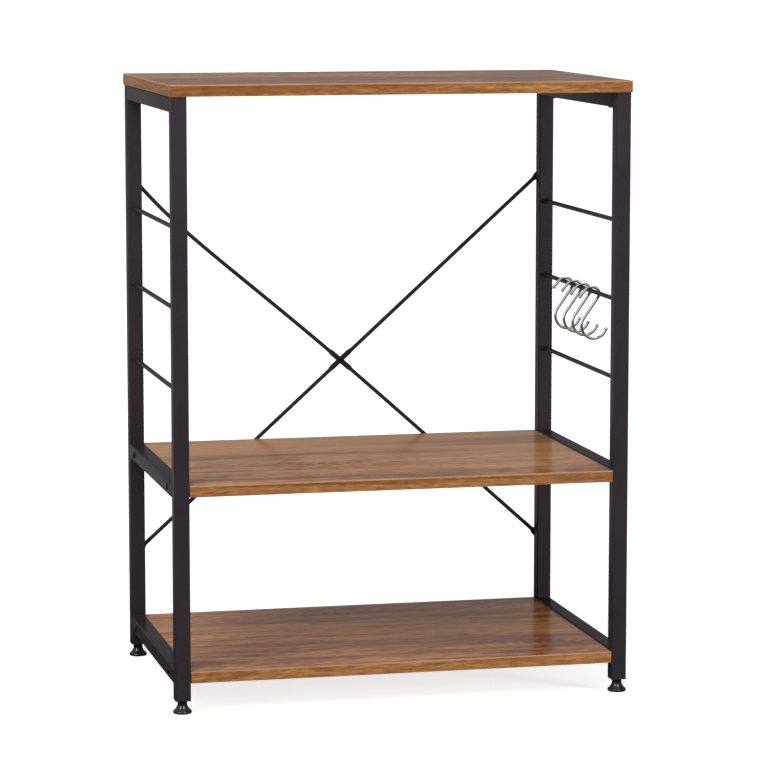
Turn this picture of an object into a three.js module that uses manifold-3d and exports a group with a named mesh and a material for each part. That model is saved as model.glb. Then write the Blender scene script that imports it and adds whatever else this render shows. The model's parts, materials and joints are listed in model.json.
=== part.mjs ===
// Bakers rack: three wood boards held by two welded side frames of square steel tube, with a
// crossed rod brace at the back, four screw-in levelling feet and four S-shaped wire hooks.
// Millimetres. +X is to the right, +Y to the back and +Z up. The origin is on the floor, at
// the middle of the frames' width and depth.

import * as THREE from "three";
import { mergeVertices } from "three/addons/utils/BufferGeometryUtils.js";
import Module from "manifold-3d";

const wasm = await Module();
wasm.setup();

// Side frames
const FRAME_WIDTH = 600; // over the outer faces of the two frames
const FRAME_DEPTH = 385; // over the front and rear posts
const TUBE_SIZE = 20;
const TUBE_WALL = 1.2;
const TUBE_CORNER = 2; // outer corner radius
const WELD_GAP = 0.1; // between a tube's end and the tube that it is welded to

// Heights, each between the middles of two rails, counted up from the floor
const LOWER_RAIL_RISE = 47;
const LOWER_BAY = 240.5;
const UPPER_BAY = 490;

// Rungs of the upper bay
const RUNG_DIAMETER = 6;
const RUNG_COUNT = 3;
const LOWEST_RUNG_RISE = 126; // above the middle of the middle rail
const RUNG_SPACING = 103.5;

// Boards
const BOARD_THICKNESS = 15;
const BAND_THICKNESS = 0.8; // edge band glued round the board's core
const TOP_OVERHANG = 1.5; // of the top board past the frames, all round
const BOARD_DROP = 2; // from a rail's top face down to the face of the board beside it
const BOARD_INSET = 0.5; // from the posts' front and rear faces to the board's edges
const BOARD_END_GAP = 0.2; // between a board's end and the rail that carries it
const BOARD_SEAT_GAP = 0.1; // between the top board and the frames under it

// Screws that hold the boards
const SCREW_DIAMETER = 5;
const SCREW_CLEARANCE = 0.3; // round every screw, bolt and stud, in every hole
const SCREW_HEAD_DIAMETER = 9;
const SCREW_HEAD_HEIGHT = 2.2;
const SCREW_CROWN_SHARE = 0.62; // of the head's width that is flat on top
const SCREW_RIM_SHARE = 0.35; // of the head's height that is upright at its rim
const SCREW_SOCKET = 3; // across the flats of the six-sided socket
const SCREW_SOCKET_DEPTH = 1.4;
const SCREW_POINT = 0.8; // chamfer at the tip
const SCREW_SEAT_GAP = 0.1; // between a head and the face that it clamps
const SCREW_SETBACK = 56; // from the front and rear faces to a screw's axis
const SHELF_SCREW_LENGTH = 50;
const TOP_SCREW_BITE = 10; // length of a top screw inside the top board
const PILOT_EXTRA = 1; // a pilot hole's depth past the screw's tip

// Cross brace: two rods, pressed flat at the ends and where they cross
const ROD_DIAMETER = 5.5;
const ROD_STANDOFF = 0.4; // between the posts' rear faces and the round of the rods
const FLAT_THICKNESS = 1.9;
const FLAT_TAPER = 7; // length over which round turns into flat
const FLAT_FACE_SHARE = 1.41; // how far pressing spreads a round section into a flat one
const END_FLAT_WIDTH = 10.5;
const END_FLAT_LENGTH = 11.5; // from the hole's middle towards the round
const END_FLAT_OVERRUN = 6.5; // from the hole's middle to the rod's tip
const END_FLAT_TIP_WIDTH = 5.2;
const END_FLAT_SHOULDER = 2.2; // from the tip to the full width
const CROSS_FLAT_WIDTH = 7.6;
const CROSS_FLAT_LENGTH = 15; // to each side of the crossing
const CROSS_GAP = 0.3; // between the two flats where they cross
const BRACE_SEAT_GAP = 0.1; // between an end flat and the post
const BRACE_TOP_DROP = 125.5; // from the posts' top to the upper holes
const BRACE_LOWER_RISE = 95; // from the middle of the lower rail to the lower holes
const BRACE_BOW = 7.6; // how far one arm of the front rod sags sideways
const BOW_PLACE_SHARE = 0.28; // where, along that arm from its end
const BRACE_SCREW_LENGTH = 12;
const CROSS_BOLT_DIAMETER = 4;
const CROSS_BOLT_HEAD_DIAMETER = 7;
const CROSS_BOLT_HEAD_HEIGHT = 1.6;
const CROSS_BOLT_SOCKET = 2.5;
const CROSS_BOLT_SOCKET_DEPTH = 1;
const CROSS_NUT_WIDTH = 7; // across the flats
const CROSS_NUT_HEIGHT = 2.4;
const CROSS_BOLT_PROUD = 0.8; // of the bolt's tip past the nut

// Levelling feet
const FOOT_HEIGHT = 17; // from the floor to the posts' lower ends
const FOOT_DIAMETER = 24.4;
const FOOT_NECK_DIAMETER = 12.6;
const FOOT_SEAT_GAP = 0.2; // between the foot's neck and the plug above it
const STUD_DIAMETER = 6;
const STUD_LENGTH = 34;
const STUD_DEPTH = 11; // of the stud in the foot
const STUD_POINT = 0.7; // chamfer at each end
const PLUG_HEIGHT = 22;
const PLUG_CLEARANCE = 0.1; // between the plug and the tube round it

// A foot's outline from its flat base up to its neck: how far out between the neck and the
// rim, and how far up its height
const FOOT_FLARE_SHARES = [
  [0.7, 0],
  [0.93, 0.05],
  [1, 0.13],
  [0.95, 0.21],
  [0.72, 0.28],
  [0.45, 0.38],
  [0.22, 0.5],
  [0.07, 0.62],
  [0, 0.74],
];

// S hooks, in the plane across the rung; radii are those of the wire's middle line
const HOOK_COUNT = 4;
const HOOK_SPACING = 42.4;
const HOOK_SETBACK = 118.5; // from the frame's rear face to the rearmost hook
const HOOK_RUNG = 2; // the rung that carries them, counted from the lowest
const HOOK_WIRE = 4;
const HOOK_BEAD = 5.2; // diameter of the bead at each end
const HOOK_REST_GAP = 0.3; // between the wire and the rung
const HOOK_TIP = 10.5; // straight length at the upper end
const HOOK_CREST_RADIUS = 12.2; // over the rung
const HOOK_NECK_RADIUS = 7.9; // from the crest round to the shank
const HOOK_SHANK = 35; // straight length between the two bends
const HOOK_BOWL_RADIUS = 17.4;
const HOOK_CREST_START = THREE.MathUtils.degToRad(140);
const HOOK_CREST_END = THREE.MathUtils.degToRad(50);
const HOOK_LEAN = THREE.MathUtils.degToRad(35); // of the shank from upright
const HOOK_BOWL_END = THREE.MathUtils.degToRad(-17);

// Smoothness
const CORNER_STEPS = 2;
const ROUND_SIDES = 12;
const HOLE_SIDES = 8;
const HEX_SIDES = 6;
const FOOT_SIDES = 16;
const BOWED_ARM_STEPS = 8;
const HOOK_SIDES = 8;
const HOOK_STEPS = 32;
const BEAD_RINGS = 6;
const CUT_OVERRUN = 1; // by which a cutting shape passes the faces that it opens

// Worked out from the sizes above
const HALF_WIDTH = FRAME_WIDTH / 2;
const HALF_DEPTH = FRAME_DEPTH / 2;
const HALF_TUBE = TUBE_SIZE / 2;
const POST_X = HALF_WIDTH - HALF_TUBE;
const POST_Y = HALF_DEPTH - HALF_TUBE;
const LOWER_RAIL_Z = LOWER_RAIL_RISE;
const MIDDLE_RAIL_Z = LOWER_RAIL_Z + LOWER_BAY;
const TOP_RAIL_Z = MIDDLE_RAIL_Z + UPPER_BAY;
const FRAME_TOP = TOP_RAIL_Z + HALF_TUBE;
const RAIL_LENGTH = FRAME_DEPTH - 2 * TUBE_SIZE - 2 * WELD_GAP;
const SCREW_Y = HALF_DEPTH - SCREW_SETBACK;
const SCREW_HOLE_DIAMETER = SCREW_DIAMETER + 2 * SCREW_CLEARANCE;
const TOP_SCREW_SEAT = TOP_RAIL_Z - HALF_TUBE - SCREW_SEAT_GAP;
const TOP_SCREW_LENGTH = FRAME_TOP + BOARD_SEAT_GAP + TOP_SCREW_BITE - TOP_SCREW_SEAT;
const BRACE_TOP_Z = FRAME_TOP - BRACE_TOP_DROP;
const BRACE_LOWER_Z = LOWER_RAIL_Z + BRACE_LOWER_RISE;
const CROSS_Z = (BRACE_TOP_Z + BRACE_LOWER_Z) / 2;
const CROSS_HOLE_DIAMETER = CROSS_BOLT_DIAMETER + 2 * SCREW_CLEARANCE;
const CROSS_OFFSET = (FLAT_THICKNESS + CROSS_GAP) / 2;
const END_FLAT_Y = HALF_DEPTH + BRACE_SEAT_GAP + FLAT_THICKNESS / 2;
const ROD_Y = HALF_DEPTH + ROD_STANDOFF + ROD_DIAMETER / 2;
const SIDES = { left: -1, right: 1 };
const ENDS = { front: -1, rear: 1 };

const material = (color, roughness, metalness) =>
  new THREE.MeshStandardMaterial({ color, roughness, metalness });
const COATED_STEEL = material(0x2f2c30, 0.55, 0.2);
const WOOD_GRAIN = material(0x8f6844, 0.5, 0);
const EDGE_BAND = material(0x95602f, 0.5, 0);
const BLACK_SCREW = material(0x1c1b1d, 0.4, 0.7);
const FOOT_PLASTIC = material(0x141315, 0.25, 0);
const PLUG_PLASTIC = material(0x222222, 0.6, 0);
const BARE_STEEL = material(0x9a9a9c, 0.35, 1);
const CHROME = material(0xd8d8da, 0.12, 1);

// A three.js geometry as a solid that can be joined and cut
function solidOf(geometry) {
  const bare = geometry.clone();
  bare.deleteAttribute("normal");
  bare.deleteAttribute("uv");
  const merged = mergeVertices(bare);
  return new wasm.Manifold(
    new wasm.Mesh({
      numProp: 3,
      vertProperties: merged.attributes.position.array,
      triVerts: new Uint32Array(merged.index.array),
    }),
  );
}

// A solid as a three.js geometry with flat faces
function geometryOf(solid) {
  const mesh = solid.getMesh();
  const geometry = new THREE.BufferGeometry();
  geometry.setAttribute("position", new THREE.BufferAttribute(mesh.vertProperties, mesh.numProp));
  geometry.setIndex(new THREE.BufferAttribute(mesh.triVerts, 1));
  const flat = geometry.toNonIndexed();
  flat.computeVertexNormals();
  return flat;
}

function cutAll(geometry, cutters) {
  const whole = solidOf(geometry);
  return geometryOf(cutters.reduce((left, cutter) => left.subtract(solidOf(cutter)), whole));
}

function piece(name, geometry, finish, x = 0, y = 0, z = 0) {
  const mesh = new THREE.Mesh(geometry, finish);
  mesh.name = name;
  mesh.position.set(x, y, z);
  return mesh;
}

// A round bar along one axis, centred on the place given
function bar(axis, diameter, length, sides, x = 0, y = 0, z = 0) {
  const geometry = new THREE.CylinderGeometry(diameter / 2, diameter / 2, length, sides);
  if (axis === "x") geometry.rotateZ(Math.PI / 2);
  if (axis === "z") geometry.rotateX(Math.PI / 2);
  return geometry.translate(x, y, z);
}

// A bar measured across its flats, so that a round thing of that diameter fits inside it
function prism(axis, acrossFlats, length, sides, x = 0, y = 0, z = 0) {
  return bar(axis, acrossFlats / Math.cos(Math.PI / sides), length, sides, x, y, z);
}

function roundedSquare(size, corner) {
  const inner = size / 2 - corner;
  const shape = new THREE.Shape();
  shape.absarc(inner, inner, corner, 0, Math.PI / 2);
  shape.absarc(-inner, inner, corner, Math.PI / 2, Math.PI);
  shape.absarc(-inner, -inner, corner, Math.PI, 1.5 * Math.PI);
  shape.absarc(inner, -inner, corner, 1.5 * Math.PI, 2 * Math.PI);
  shape.closePath();
  return shape;
}

// A section drawn up from zero along the Z axis
function drawnUp(section, length) {
  return new THREE.ExtrudeGeometry(section, {
    depth: length,
    bevelEnabled: false,
    curveSegments: CORNER_STEPS,
  });
}

function squareTube(length) {
  const section = roundedSquare(TUBE_SIZE, TUBE_CORNER);
  section.holes.push(roundedSquare(TUBE_SIZE - 2 * TUBE_WALL, TUBE_CORNER - TUBE_WALL));
  return drawnUp(section, length);
}

// A turned shape whose profile runs along the Z axis
function turned(profile, sides) {
  const points = profile.map(([radius, height]) => new THREE.Vector2(radius, height));
  return new THREE.LatheGeometry(points, sides).rotateX(Math.PI / 2);
}

// A post; the rear ones have a hole in their rear wall for each screw of the brace
function post(name, side, end) {
  const heights = end === ENDS.rear ? [BRACE_TOP_Z, BRACE_LOWER_Z] : [];
  const wallMiddle = HALF_TUBE - TUBE_WALL / 2;
  const depth = TUBE_WALL + 2 * CUT_OVERRUN;
  const holes = heights.map((height) =>
    prism("y", SCREW_HOLE_DIAMETER, depth, HOLE_SIDES, 0, wallMiddle, height - FOOT_HEIGHT),
  );
  const geometry = cutAll(squareTube(FRAME_TOP - FOOT_HEIGHT), holes);
  return piece(name, geometry, COATED_STEEL, side * POST_X, end * POST_Y, FOOT_HEIGHT);
}

// A rail between the posts, with two holes right through for the screws of its board
function rail(name, side, height, holeAxis) {
  const tube = squareTube(RAIL_LENGTH).rotateX(Math.PI / 2).translate(0, RAIL_LENGTH / 2, 0);
  const through = TUBE_SIZE + 2 * CUT_OVERRUN;
  const holes = [-SCREW_Y, SCREW_Y].map((y) =>
    prism(holeAxis, SCREW_HOLE_DIAMETER, through, HOLE_SIDES, 0, y, 0),
  );
  return piece(name, cutAll(tube, holes), COATED_STEEL, side * POST_X, 0, height);
}

function rungHeight(number) {
  return MIDDLE_RAIL_Z + LOWEST_RUNG_RISE + (number - 1) * RUNG_SPACING;
}

function sideFrame(label) {
  const side = SIDES[label];
  const frame = new THREE.Group();
  for (const [end, place] of Object.entries(ENDS)) {
    frame.add(post(`${label}_${end}_post`, side, place));
  }
  frame.add(rail(`${label}_top_rail`, side, TOP_RAIL_Z, "z"));
  frame.add(rail(`${label}_middle_rail`, side, MIDDLE_RAIL_Z, "x"));
  frame.add(rail(`${label}_lower_rail`, side, LOWER_RAIL_Z, "x"));
  for (let number = 1; number <= RUNG_COUNT; number++) {
    const rung = bar("y", RUNG_DIAMETER, RAIL_LENGTH, ROUND_SIDES);
    const height = rungHeight(number);
    frame.add(piece(`${label}_rung_${number}`, rung, COATED_STEEL, side * POST_X, 0, height));
  }
  return frame;
}

// A board's core and the band round its edge, both drilled by the same cutters
function board(label, width, depth, bottom, cutters) {
  const coreWidth = width - 2 * BAND_THICKNESS;
  const coreDepth = depth - 2 * BAND_THICKNESS;
  const middle = bottom + BOARD_THICKNESS / 2;
  const core = new THREE.BoxGeometry(coreWidth, coreDepth, BOARD_THICKNESS);
  const outer = new THREE.BoxGeometry(width, depth, BOARD_THICKNESS);
  const inner = new THREE.BoxGeometry(coreWidth, coreDepth, BOARD_THICKNESS + 2 * CUT_OVERRUN);
  const band = cutAll(outer, [inner, ...cutters]);
  return [
    piece(`${label}_board`, cutAll(core, cutters), WOOD_GRAIN, 0, 0, middle),
    piece(`${label}_board_edge_band`, band, EDGE_BAND, 0, 0, middle),
  ];
}

// One of the two boards that hang between the frames, drilled from its ends
function shelf(label, railHeight) {
  const width = 2 * (HALF_WIDTH - TUBE_SIZE - BOARD_END_GAP);
  const depth = FRAME_DEPTH - 2 * BOARD_INSET;
  const bottom = railHeight + HALF_TUBE - BOARD_DROP - BOARD_THICKNESS;
  const pilotEnd = HALF_WIDTH - SHELF_SCREW_LENGTH - PILOT_EXTRA;
  const pilotLength = width / 2 + CUT_OVERRUN - pilotEnd;
  const pilotX = pilotEnd + pilotLength / 2;
  const pilotZ = railHeight - bottom - BOARD_THICKNESS / 2;
  const cutters = [];
  for (const side of Object.values(SIDES)) {
    for (const y of [-SCREW_Y, SCREW_Y]) {
      cutters.push(prism("x", SCREW_HOLE_DIAMETER, pilotLength, HOLE_SIDES, side * pilotX, y, pilotZ));
    }
  }
  return board(label, width, depth, bottom, cutters);
}

// The board that lies on the frames, drilled from below
function topBoard() {
  const width = FRAME_WIDTH + 2 * TOP_OVERHANG;
  const depth = FRAME_DEPTH + 2 * TOP_OVERHANG;
  const pilotLength = TOP_SCREW_BITE + PILOT_EXTRA + CUT_OVERRUN;
  const pilotZ = pilotLength / 2 - CUT_OVERRUN - BOARD_THICKNESS / 2;
  const cutters = [];
  for (const side of Object.values(SIDES)) {
    for (const y of [-SCREW_Y, SCREW_Y]) {
      cutters.push(prism("z", SCREW_HOLE_DIAMETER, pilotLength, HOLE_SIDES, side * POST_X, y, pilotZ));
    }
  }
  return board("top", width, depth, FRAME_TOP + BOARD_SEAT_GAP, cutters);
}

// Button-head screw along the Z axis: its head's underside at zero and its tip below
function socketScrew({ diameter, length, headDiameter, headHeight, socket, socketDepth }) {
  const radius = diameter / 2;
  const head = headDiameter / 2;
  const profile = [
    [0, -length],
    [radius - SCREW_POINT, -length],
    [radius, -length + SCREW_POINT],
    [radius, 0],
    [head, 0],
    [head, headHeight * SCREW_RIM_SHARE],
    [head * SCREW_CROWN_SHARE, headHeight],
    [0, headHeight],
  ];
  const cutLength = socketDepth + CUT_OVERRUN;
  const cutZ = headHeight - socketDepth + cutLength / 2;
  return cutAll(turned(profile, ROUND_SIDES), [prism("z", socket, cutLength, HEX_SIDES, 0, 0, cutZ)]);
}

function boardScrew(length) {
  return socketScrew({
    diameter: SCREW_DIAMETER,
    length,
    headDiameter: SCREW_HEAD_DIAMETER,
    headHeight: SCREW_HEAD_HEIGHT,
    socket: SCREW_SOCKET,
    socketDepth: SCREW_SOCKET_DEPTH,
  });
}

// The four screws of one hanging board, through its rails from the outside
function shelfScrews(level, height) {
  const group = new THREE.Group();
  for (const [label, side] of Object.entries(SIDES)) {
    for (const [end, place] of Object.entries(ENDS)) {
      const name = `${level}_board_screw_${label}_${end}`;
      const screw = boardScrew(SHELF_SCREW_LENGTH).rotateY((side * Math.PI) / 2);
      const x = side * (HALF_WIDTH + SCREW_SEAT_GAP);
      group.add(piece(name, screw, BLACK_SCREW, x, place * SCREW_Y, height));
    }
  }
  return group;
}

// The four screws of the top board, up through its rails
function topScrews() {
  const group = new THREE.Group();
  for (const [label, side] of Object.entries(SIDES)) {
    for (const [end, place] of Object.entries(ENDS)) {
      const name = `top_board_screw_${label}_${end}`;
      const screw = boardScrew(TOP_SCREW_LENGTH).rotateX(Math.PI);
      group.add(piece(name, screw, BLACK_SCREW, side * POST_X, place * SCREW_Y, TOP_SCREW_SEAT));
    }
  }
  return group;
}

// One rod along a line in the XZ plane. Each station is a ring: its distance along the line,
// its width, its thickness and its place in depth.
function rodAlong(line, crossY, firstArmSteps) {
  const length = line.getLength();
  const half = length / 2;
  const round = { width: ROD_DIAMETER, thickness: ROD_DIAMETER, y: ROD_Y };
  const endFlat = { width: END_FLAT_WIDTH, thickness: FLAT_THICKNESS, y: END_FLAT_Y };
  const crossFlat = { width: CROSS_FLAT_WIDTH, thickness: FLAT_THICKNESS, y: crossY };
  const flatEnd = END_FLAT_OVERRUN + END_FLAT_LENGTH;
  const armStart = flatEnd + FLAT_TAPER;
  const armEnd = half - CROSS_FLAT_LENGTH - FLAT_TAPER;
  const arm = (steps) => [
    { ...endFlat, at: 0, width: END_FLAT_TIP_WIDTH },
    { ...endFlat, at: END_FLAT_SHOULDER },
    { ...endFlat, at: flatEnd },
    ...Array.from({ length: steps + 1 }, (_, i) => ({
      ...round,
      at: armStart + ((armEnd - armStart) * i) / steps,
    })),
    { ...crossFlat, at: half - CROSS_FLAT_LENGTH },
  ];
  const secondArm = arm(1).map((ring) => ({ ...ring, at: length - ring.at }));
  const rings = [...arm(firstArmSteps), ...secondArm.reverse()];

  // A unit cylinder whose rings of points are moved to the stations
  const geometry = new THREE.CylinderGeometry(1, 1, 1, ROUND_SIDES, rings.length - 1);
  geometry.deleteAttribute("normal");
  geometry.deleteAttribute("uv");
  geometry.rotateY(Math.PI / ROUND_SIDES);
  const places = geometry.attributes.position;
  for (let i = 0; i < places.count; i++) {
    const ring = rings[Math.round((0.5 - places.getY(i)) * (rings.length - 1))];
    const middle = line.getPointAt(ring.at / length);
    const along = line.getTangentAt(ring.at / length);
    const isFlat = ring.thickness < ROD_DIAMETER;
    const pressed = THREE.MathUtils.clamp(places.getZ(i) * FLAT_FACE_SHARE, -1, 1);
    const across = places.getX(i) * (ring.width / 2);
    const deep = (isFlat ? pressed : places.getZ(i)) * (ring.thickness / 2);
    places.setXYZ(i, middle.x + along.y * across, ring.y + deep, middle.y - along.x * across);
  }
  return geometry;
}

// The line of a rod from one upper hole to the lower hole of the other side, run on to its tips
function braceLine(side, bow) {
  const upper = new THREE.Vector2(side * POST_X, BRACE_TOP_Z);
  const lower = new THREE.Vector2(-side * POST_X, BRACE_LOWER_Z);
  const cross = new THREE.Vector2(0, CROSS_Z);
  const run = lower.clone().sub(upper).normalize();
  const start = upper.clone().addScaledVector(run, -END_FLAT_OVERRUN);
  const end = lower.clone().addScaledVector(run, END_FLAT_OVERRUN);
  if (!bow) return new THREE.LineCurve(start, end);
  const sideways = new THREE.Vector2(run.y, -run.x);
  const bent = upper.clone().lerp(cross, BOW_PLACE_SHARE).addScaledVector(sideways, bow);
  return new THREE.SplineCurve([start, bent, cross, end]);
}

function braceRod(name, side, bow, crossY, firstArmSteps) {
  const depth = ROD_DIAMETER + 2 * CUT_OVERRUN;
  const endHole = (x, z) => prism("y", SCREW_HOLE_DIAMETER, depth, HOLE_SIDES, x, END_FLAT_Y, z);
  const holes = [
    endHole(side * POST_X, BRACE_TOP_Z),
    endHole(-side * POST_X, BRACE_LOWER_Z),
    prism("y", CROSS_HOLE_DIAMETER, depth, HOLE_SIDES, 0, crossY, CROSS_Z),
  ];
  const rod = rodAlong(braceLine(side, bow), crossY, firstArmSteps);
  return piece(name, cutAll(rod, holes), COATED_STEEL);
}

function braceScrews() {
  const group = new THREE.Group();
  const y = END_FLAT_Y + FLAT_THICKNESS / 2 + SCREW_SEAT_GAP;
  for (const [level, height] of [["upper", BRACE_TOP_Z], ["lower", BRACE_LOWER_Z]]) {
    for (const [label, side] of Object.entries(SIDES)) {
      const screw = boardScrew(BRACE_SCREW_LENGTH).rotateX(-Math.PI / 2);
      group.add(piece(`brace_screw_${level}_${label}`, screw, BLACK_SCREW, side * POST_X, y, height));
    }
  }
  return group;
}

// Small bolt through the crossing, its head to the front, and its nut behind
function crossBolt() {
  const frontFace = ROD_Y - CROSS_OFFSET - FLAT_THICKNESS / 2 - SCREW_SEAT_GAP;
  const rearFace = ROD_Y + CROSS_OFFSET + FLAT_THICKNESS / 2 + SCREW_SEAT_GAP;
  const bolt = socketScrew({
    diameter: CROSS_BOLT_DIAMETER,
    length: rearFace - frontFace + CROSS_NUT_HEIGHT + CROSS_BOLT_PROUD,
    headDiameter: CROSS_BOLT_HEAD_DIAMETER,
    headHeight: CROSS_BOLT_HEAD_HEIGHT,
    socket: CROSS_BOLT_SOCKET,
    socketDepth: CROSS_BOLT_SOCKET_DEPTH,
  }).rotateX(Math.PI / 2);
  const hole = prism("y", CROSS_HOLE_DIAMETER, CROSS_NUT_HEIGHT + 2 * CUT_OVERRUN, HOLE_SIDES);
  const nut = cutAll(prism("y", CROSS_NUT_WIDTH, CROSS_NUT_HEIGHT, HEX_SIDES), [hole]);
  return [
    piece("brace_cross_bolt", bolt, BLACK_SCREW, 0, frontFace, CROSS_Z),
    piece("brace_cross_nut", nut, BLACK_SCREW, 0, rearFace + CROSS_NUT_HEIGHT / 2, CROSS_Z),
  ];
}

// Plug in a post's lower end, with the threaded hole that the foot's stud turns in
function tubePlug() {
  const size = TUBE_SIZE - 2 * TUBE_WALL - 2 * PLUG_CLEARANCE;
  const plug = drawnUp(roundedSquare(size, TUBE_CORNER - TUBE_WALL), PLUG_HEIGHT);
  const through = PLUG_HEIGHT + 2 * CUT_OVERRUN;
  const holeDiameter = STUD_DIAMETER + 2 * SCREW_CLEARANCE;
  return cutAll(plug, [prism("z", holeDiameter, through, ROUND_SIDES, 0, 0, PLUG_HEIGHT / 2)]);
}

// Bell-shaped foot with a flat base, bored from above for its stud
function footBase() {
  const neck = FOOT_NECK_DIAMETER / 2;
  const flare = FOOT_DIAMETER / 2 - neck;
  const top = FOOT_HEIGHT - FOOT_SEAT_GAP;
  const bore = STUD_DIAMETER / 2 + SCREW_CLEARANCE;
  const boreBottom = top - STUD_DEPTH - SCREW_CLEARANCE;
  const profile = [
    [0, 0],
    ...FOOT_FLARE_SHARES.map(([out, up]) => [neck + flare * out, top * up]),
    [neck, top],
    [bore, top],
    [bore, boreBottom],
    [0, boreBottom],
  ];
  return turned(profile, FOOT_SIDES);
}

function footStud() {
  const radius = STUD_DIAMETER / 2;
  const profile = [
    [0, 0],
    [radius - STUD_POINT, 0],
    [radius, STUD_POINT],
    [radius, STUD_LENGTH - STUD_POINT],
    [radius - STUD_POINT, STUD_LENGTH],
    [0, STUD_LENGTH],
  ];
  return turned(profile, ROUND_SIDES);
}

function feet() {
  const group = new THREE.Group();
  const studZ = FOOT_HEIGHT - FOOT_SEAT_GAP - STUD_DEPTH;
  for (const [label, side] of Object.entries(SIDES)) {
    for (const [end, place] of Object.entries(ENDS)) {
      const corner = new THREE.Group();
      corner.position.set(side * POST_X, place * POST_Y, 0);
      corner.add(piece(`foot_plug_${label}_${end}`, tubePlug(), PLUG_PLASTIC, 0, 0, FOOT_HEIGHT));
      corner.add(piece(`levelling_foot_${label}_${end}`, footBase(), FOOT_PLASTIC));
      corner.add(piece(`foot_stud_${label}_${end}`, footStud(), BARE_STEEL, 0, 0, studZ));
      group.add(corner);
    }
  }
  return group;
}

function onCircle(centre, radius, angle) {
  const reach = new THREE.Vector2(Math.cos(angle), Math.sin(angle));
  return centre.clone().addScaledVector(reach, radius);
}

// The middle line of a hook's wire, drawn from its upper tip round to the end of its bowl.
// The rung's middle is at the origin.
function hookLine() {
  const wireTop = RUNG_DIAMETER / 2 + HOOK_REST_GAP + HOOK_WIRE / 2;
  const crest = new THREE.Vector2(0, wireTop - HOOK_CREST_RADIUS);
  const crestStart = onCircle(crest, HOOK_CREST_RADIUS, HOOK_CREST_START);
  const tip = onCircle(crestStart, HOOK_TIP, HOOK_CREST_START + Math.PI / 2);
  const neck = onCircle(crest, HOOK_CREST_RADIUS - HOOK_NECK_RADIUS, HOOK_CREST_END);
  const neckEnd = onCircle(neck, HOOK_NECK_RADIUS, -HOOK_LEAN);
  const bowlStart = onCircle(neckEnd, HOOK_SHANK, -HOOK_LEAN - Math.PI / 2);
  const bowl = onCircle(bowlStart, HOOK_BOWL_RADIUS, -HOOK_LEAN);
  const line = new THREE.Path();
  line.moveTo(tip.x, tip.y);
  line.lineTo(crestStart.x, crestStart.y);
  line.absarc(crest.x, crest.y, HOOK_CREST_RADIUS, HOOK_CREST_START, HOOK_CREST_END, true);
  line.absarc(neck.x, neck.y, HOOK_NECK_RADIUS, HOOK_CREST_END, -HOOK_LEAN, true);
  line.lineTo(bowlStart.x, bowlStart.y);
  line.absarc(bowl.x, bowl.y, HOOK_BOWL_RADIUS, Math.PI - HOOK_LEAN, 2 * Math.PI + HOOK_BOWL_END);
  return line.getSpacedPoints(HOOK_STEPS).map((p) => new THREE.Vector3(p.x, 0, p.y));
}

function hook() {
  const points = hookLine();
  const section = new THREE.Shape().absarc(0, 0, HOOK_WIRE / 2, 0, 2 * Math.PI);
  const wire = new THREE.ExtrudeGeometry(section, {
    extrudePath: new THREE.CatmullRomCurve3(points),
    steps: HOOK_STEPS,
    curveSegments: HOOK_SIDES / 2,
    bevelEnabled: false,
  });
  const bead = new THREE.SphereGeometry(HOOK_BEAD / 2, HOOK_SIDES, BEAD_RINGS);
  const beadAt = (place) => solidOf(bead.clone().translate(place.x, place.y, place.z));
  return geometryOf(solidOf(wire).add(beadAt(points[0])).add(beadAt(points.at(-1))));
}

function hooks() {
  const group = new THREE.Group();
  for (let i = 0; i < HOOK_COUNT; i++) {
    const y = HALF_DEPTH - HOOK_SETBACK - i * HOOK_SPACING;
    group.add(piece(`s_hook_${i + 1}`, hook(), CHROME, POST_X, y, rungHeight(HOOK_RUNG)));
  }
  return group;
}

const rack = new THREE.Group();
rack.add(sideFrame("left"), sideFrame("right"));
rack.add(...topBoard(), ...shelf("middle", MIDDLE_RAIL_Z), ...shelf("lower", LOWER_RAIL_Z));
rack.add(topScrews(), shelfScrews("middle", MIDDLE_RAIL_Z), shelfScrews("lower", LOWER_RAIL_Z));
rack.add(braceRod("brace_rod_front", SIDES.left, BRACE_BOW, ROD_Y - CROSS_OFFSET, BOWED_ARM_STEPS));
rack.add(braceRod("brace_rod_rear", SIDES.right, 0, ROD_Y + CROSS_OFFSET, 1));
rack.add(braceScrews(), ...crossBolt());
rack.add(feet());
rack.add(hooks());

export default rack;
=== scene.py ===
import json
import math

import bmesh
import bpy
from bpy.props import FloatProperty, FloatVectorProperty, IntProperty, PointerProperty
from bpy.types import Operator, Panel, PropertyGroup
from mathutils import Matrix, Vector, noise
from mathutils.geometry import interpolate_bezier

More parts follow.
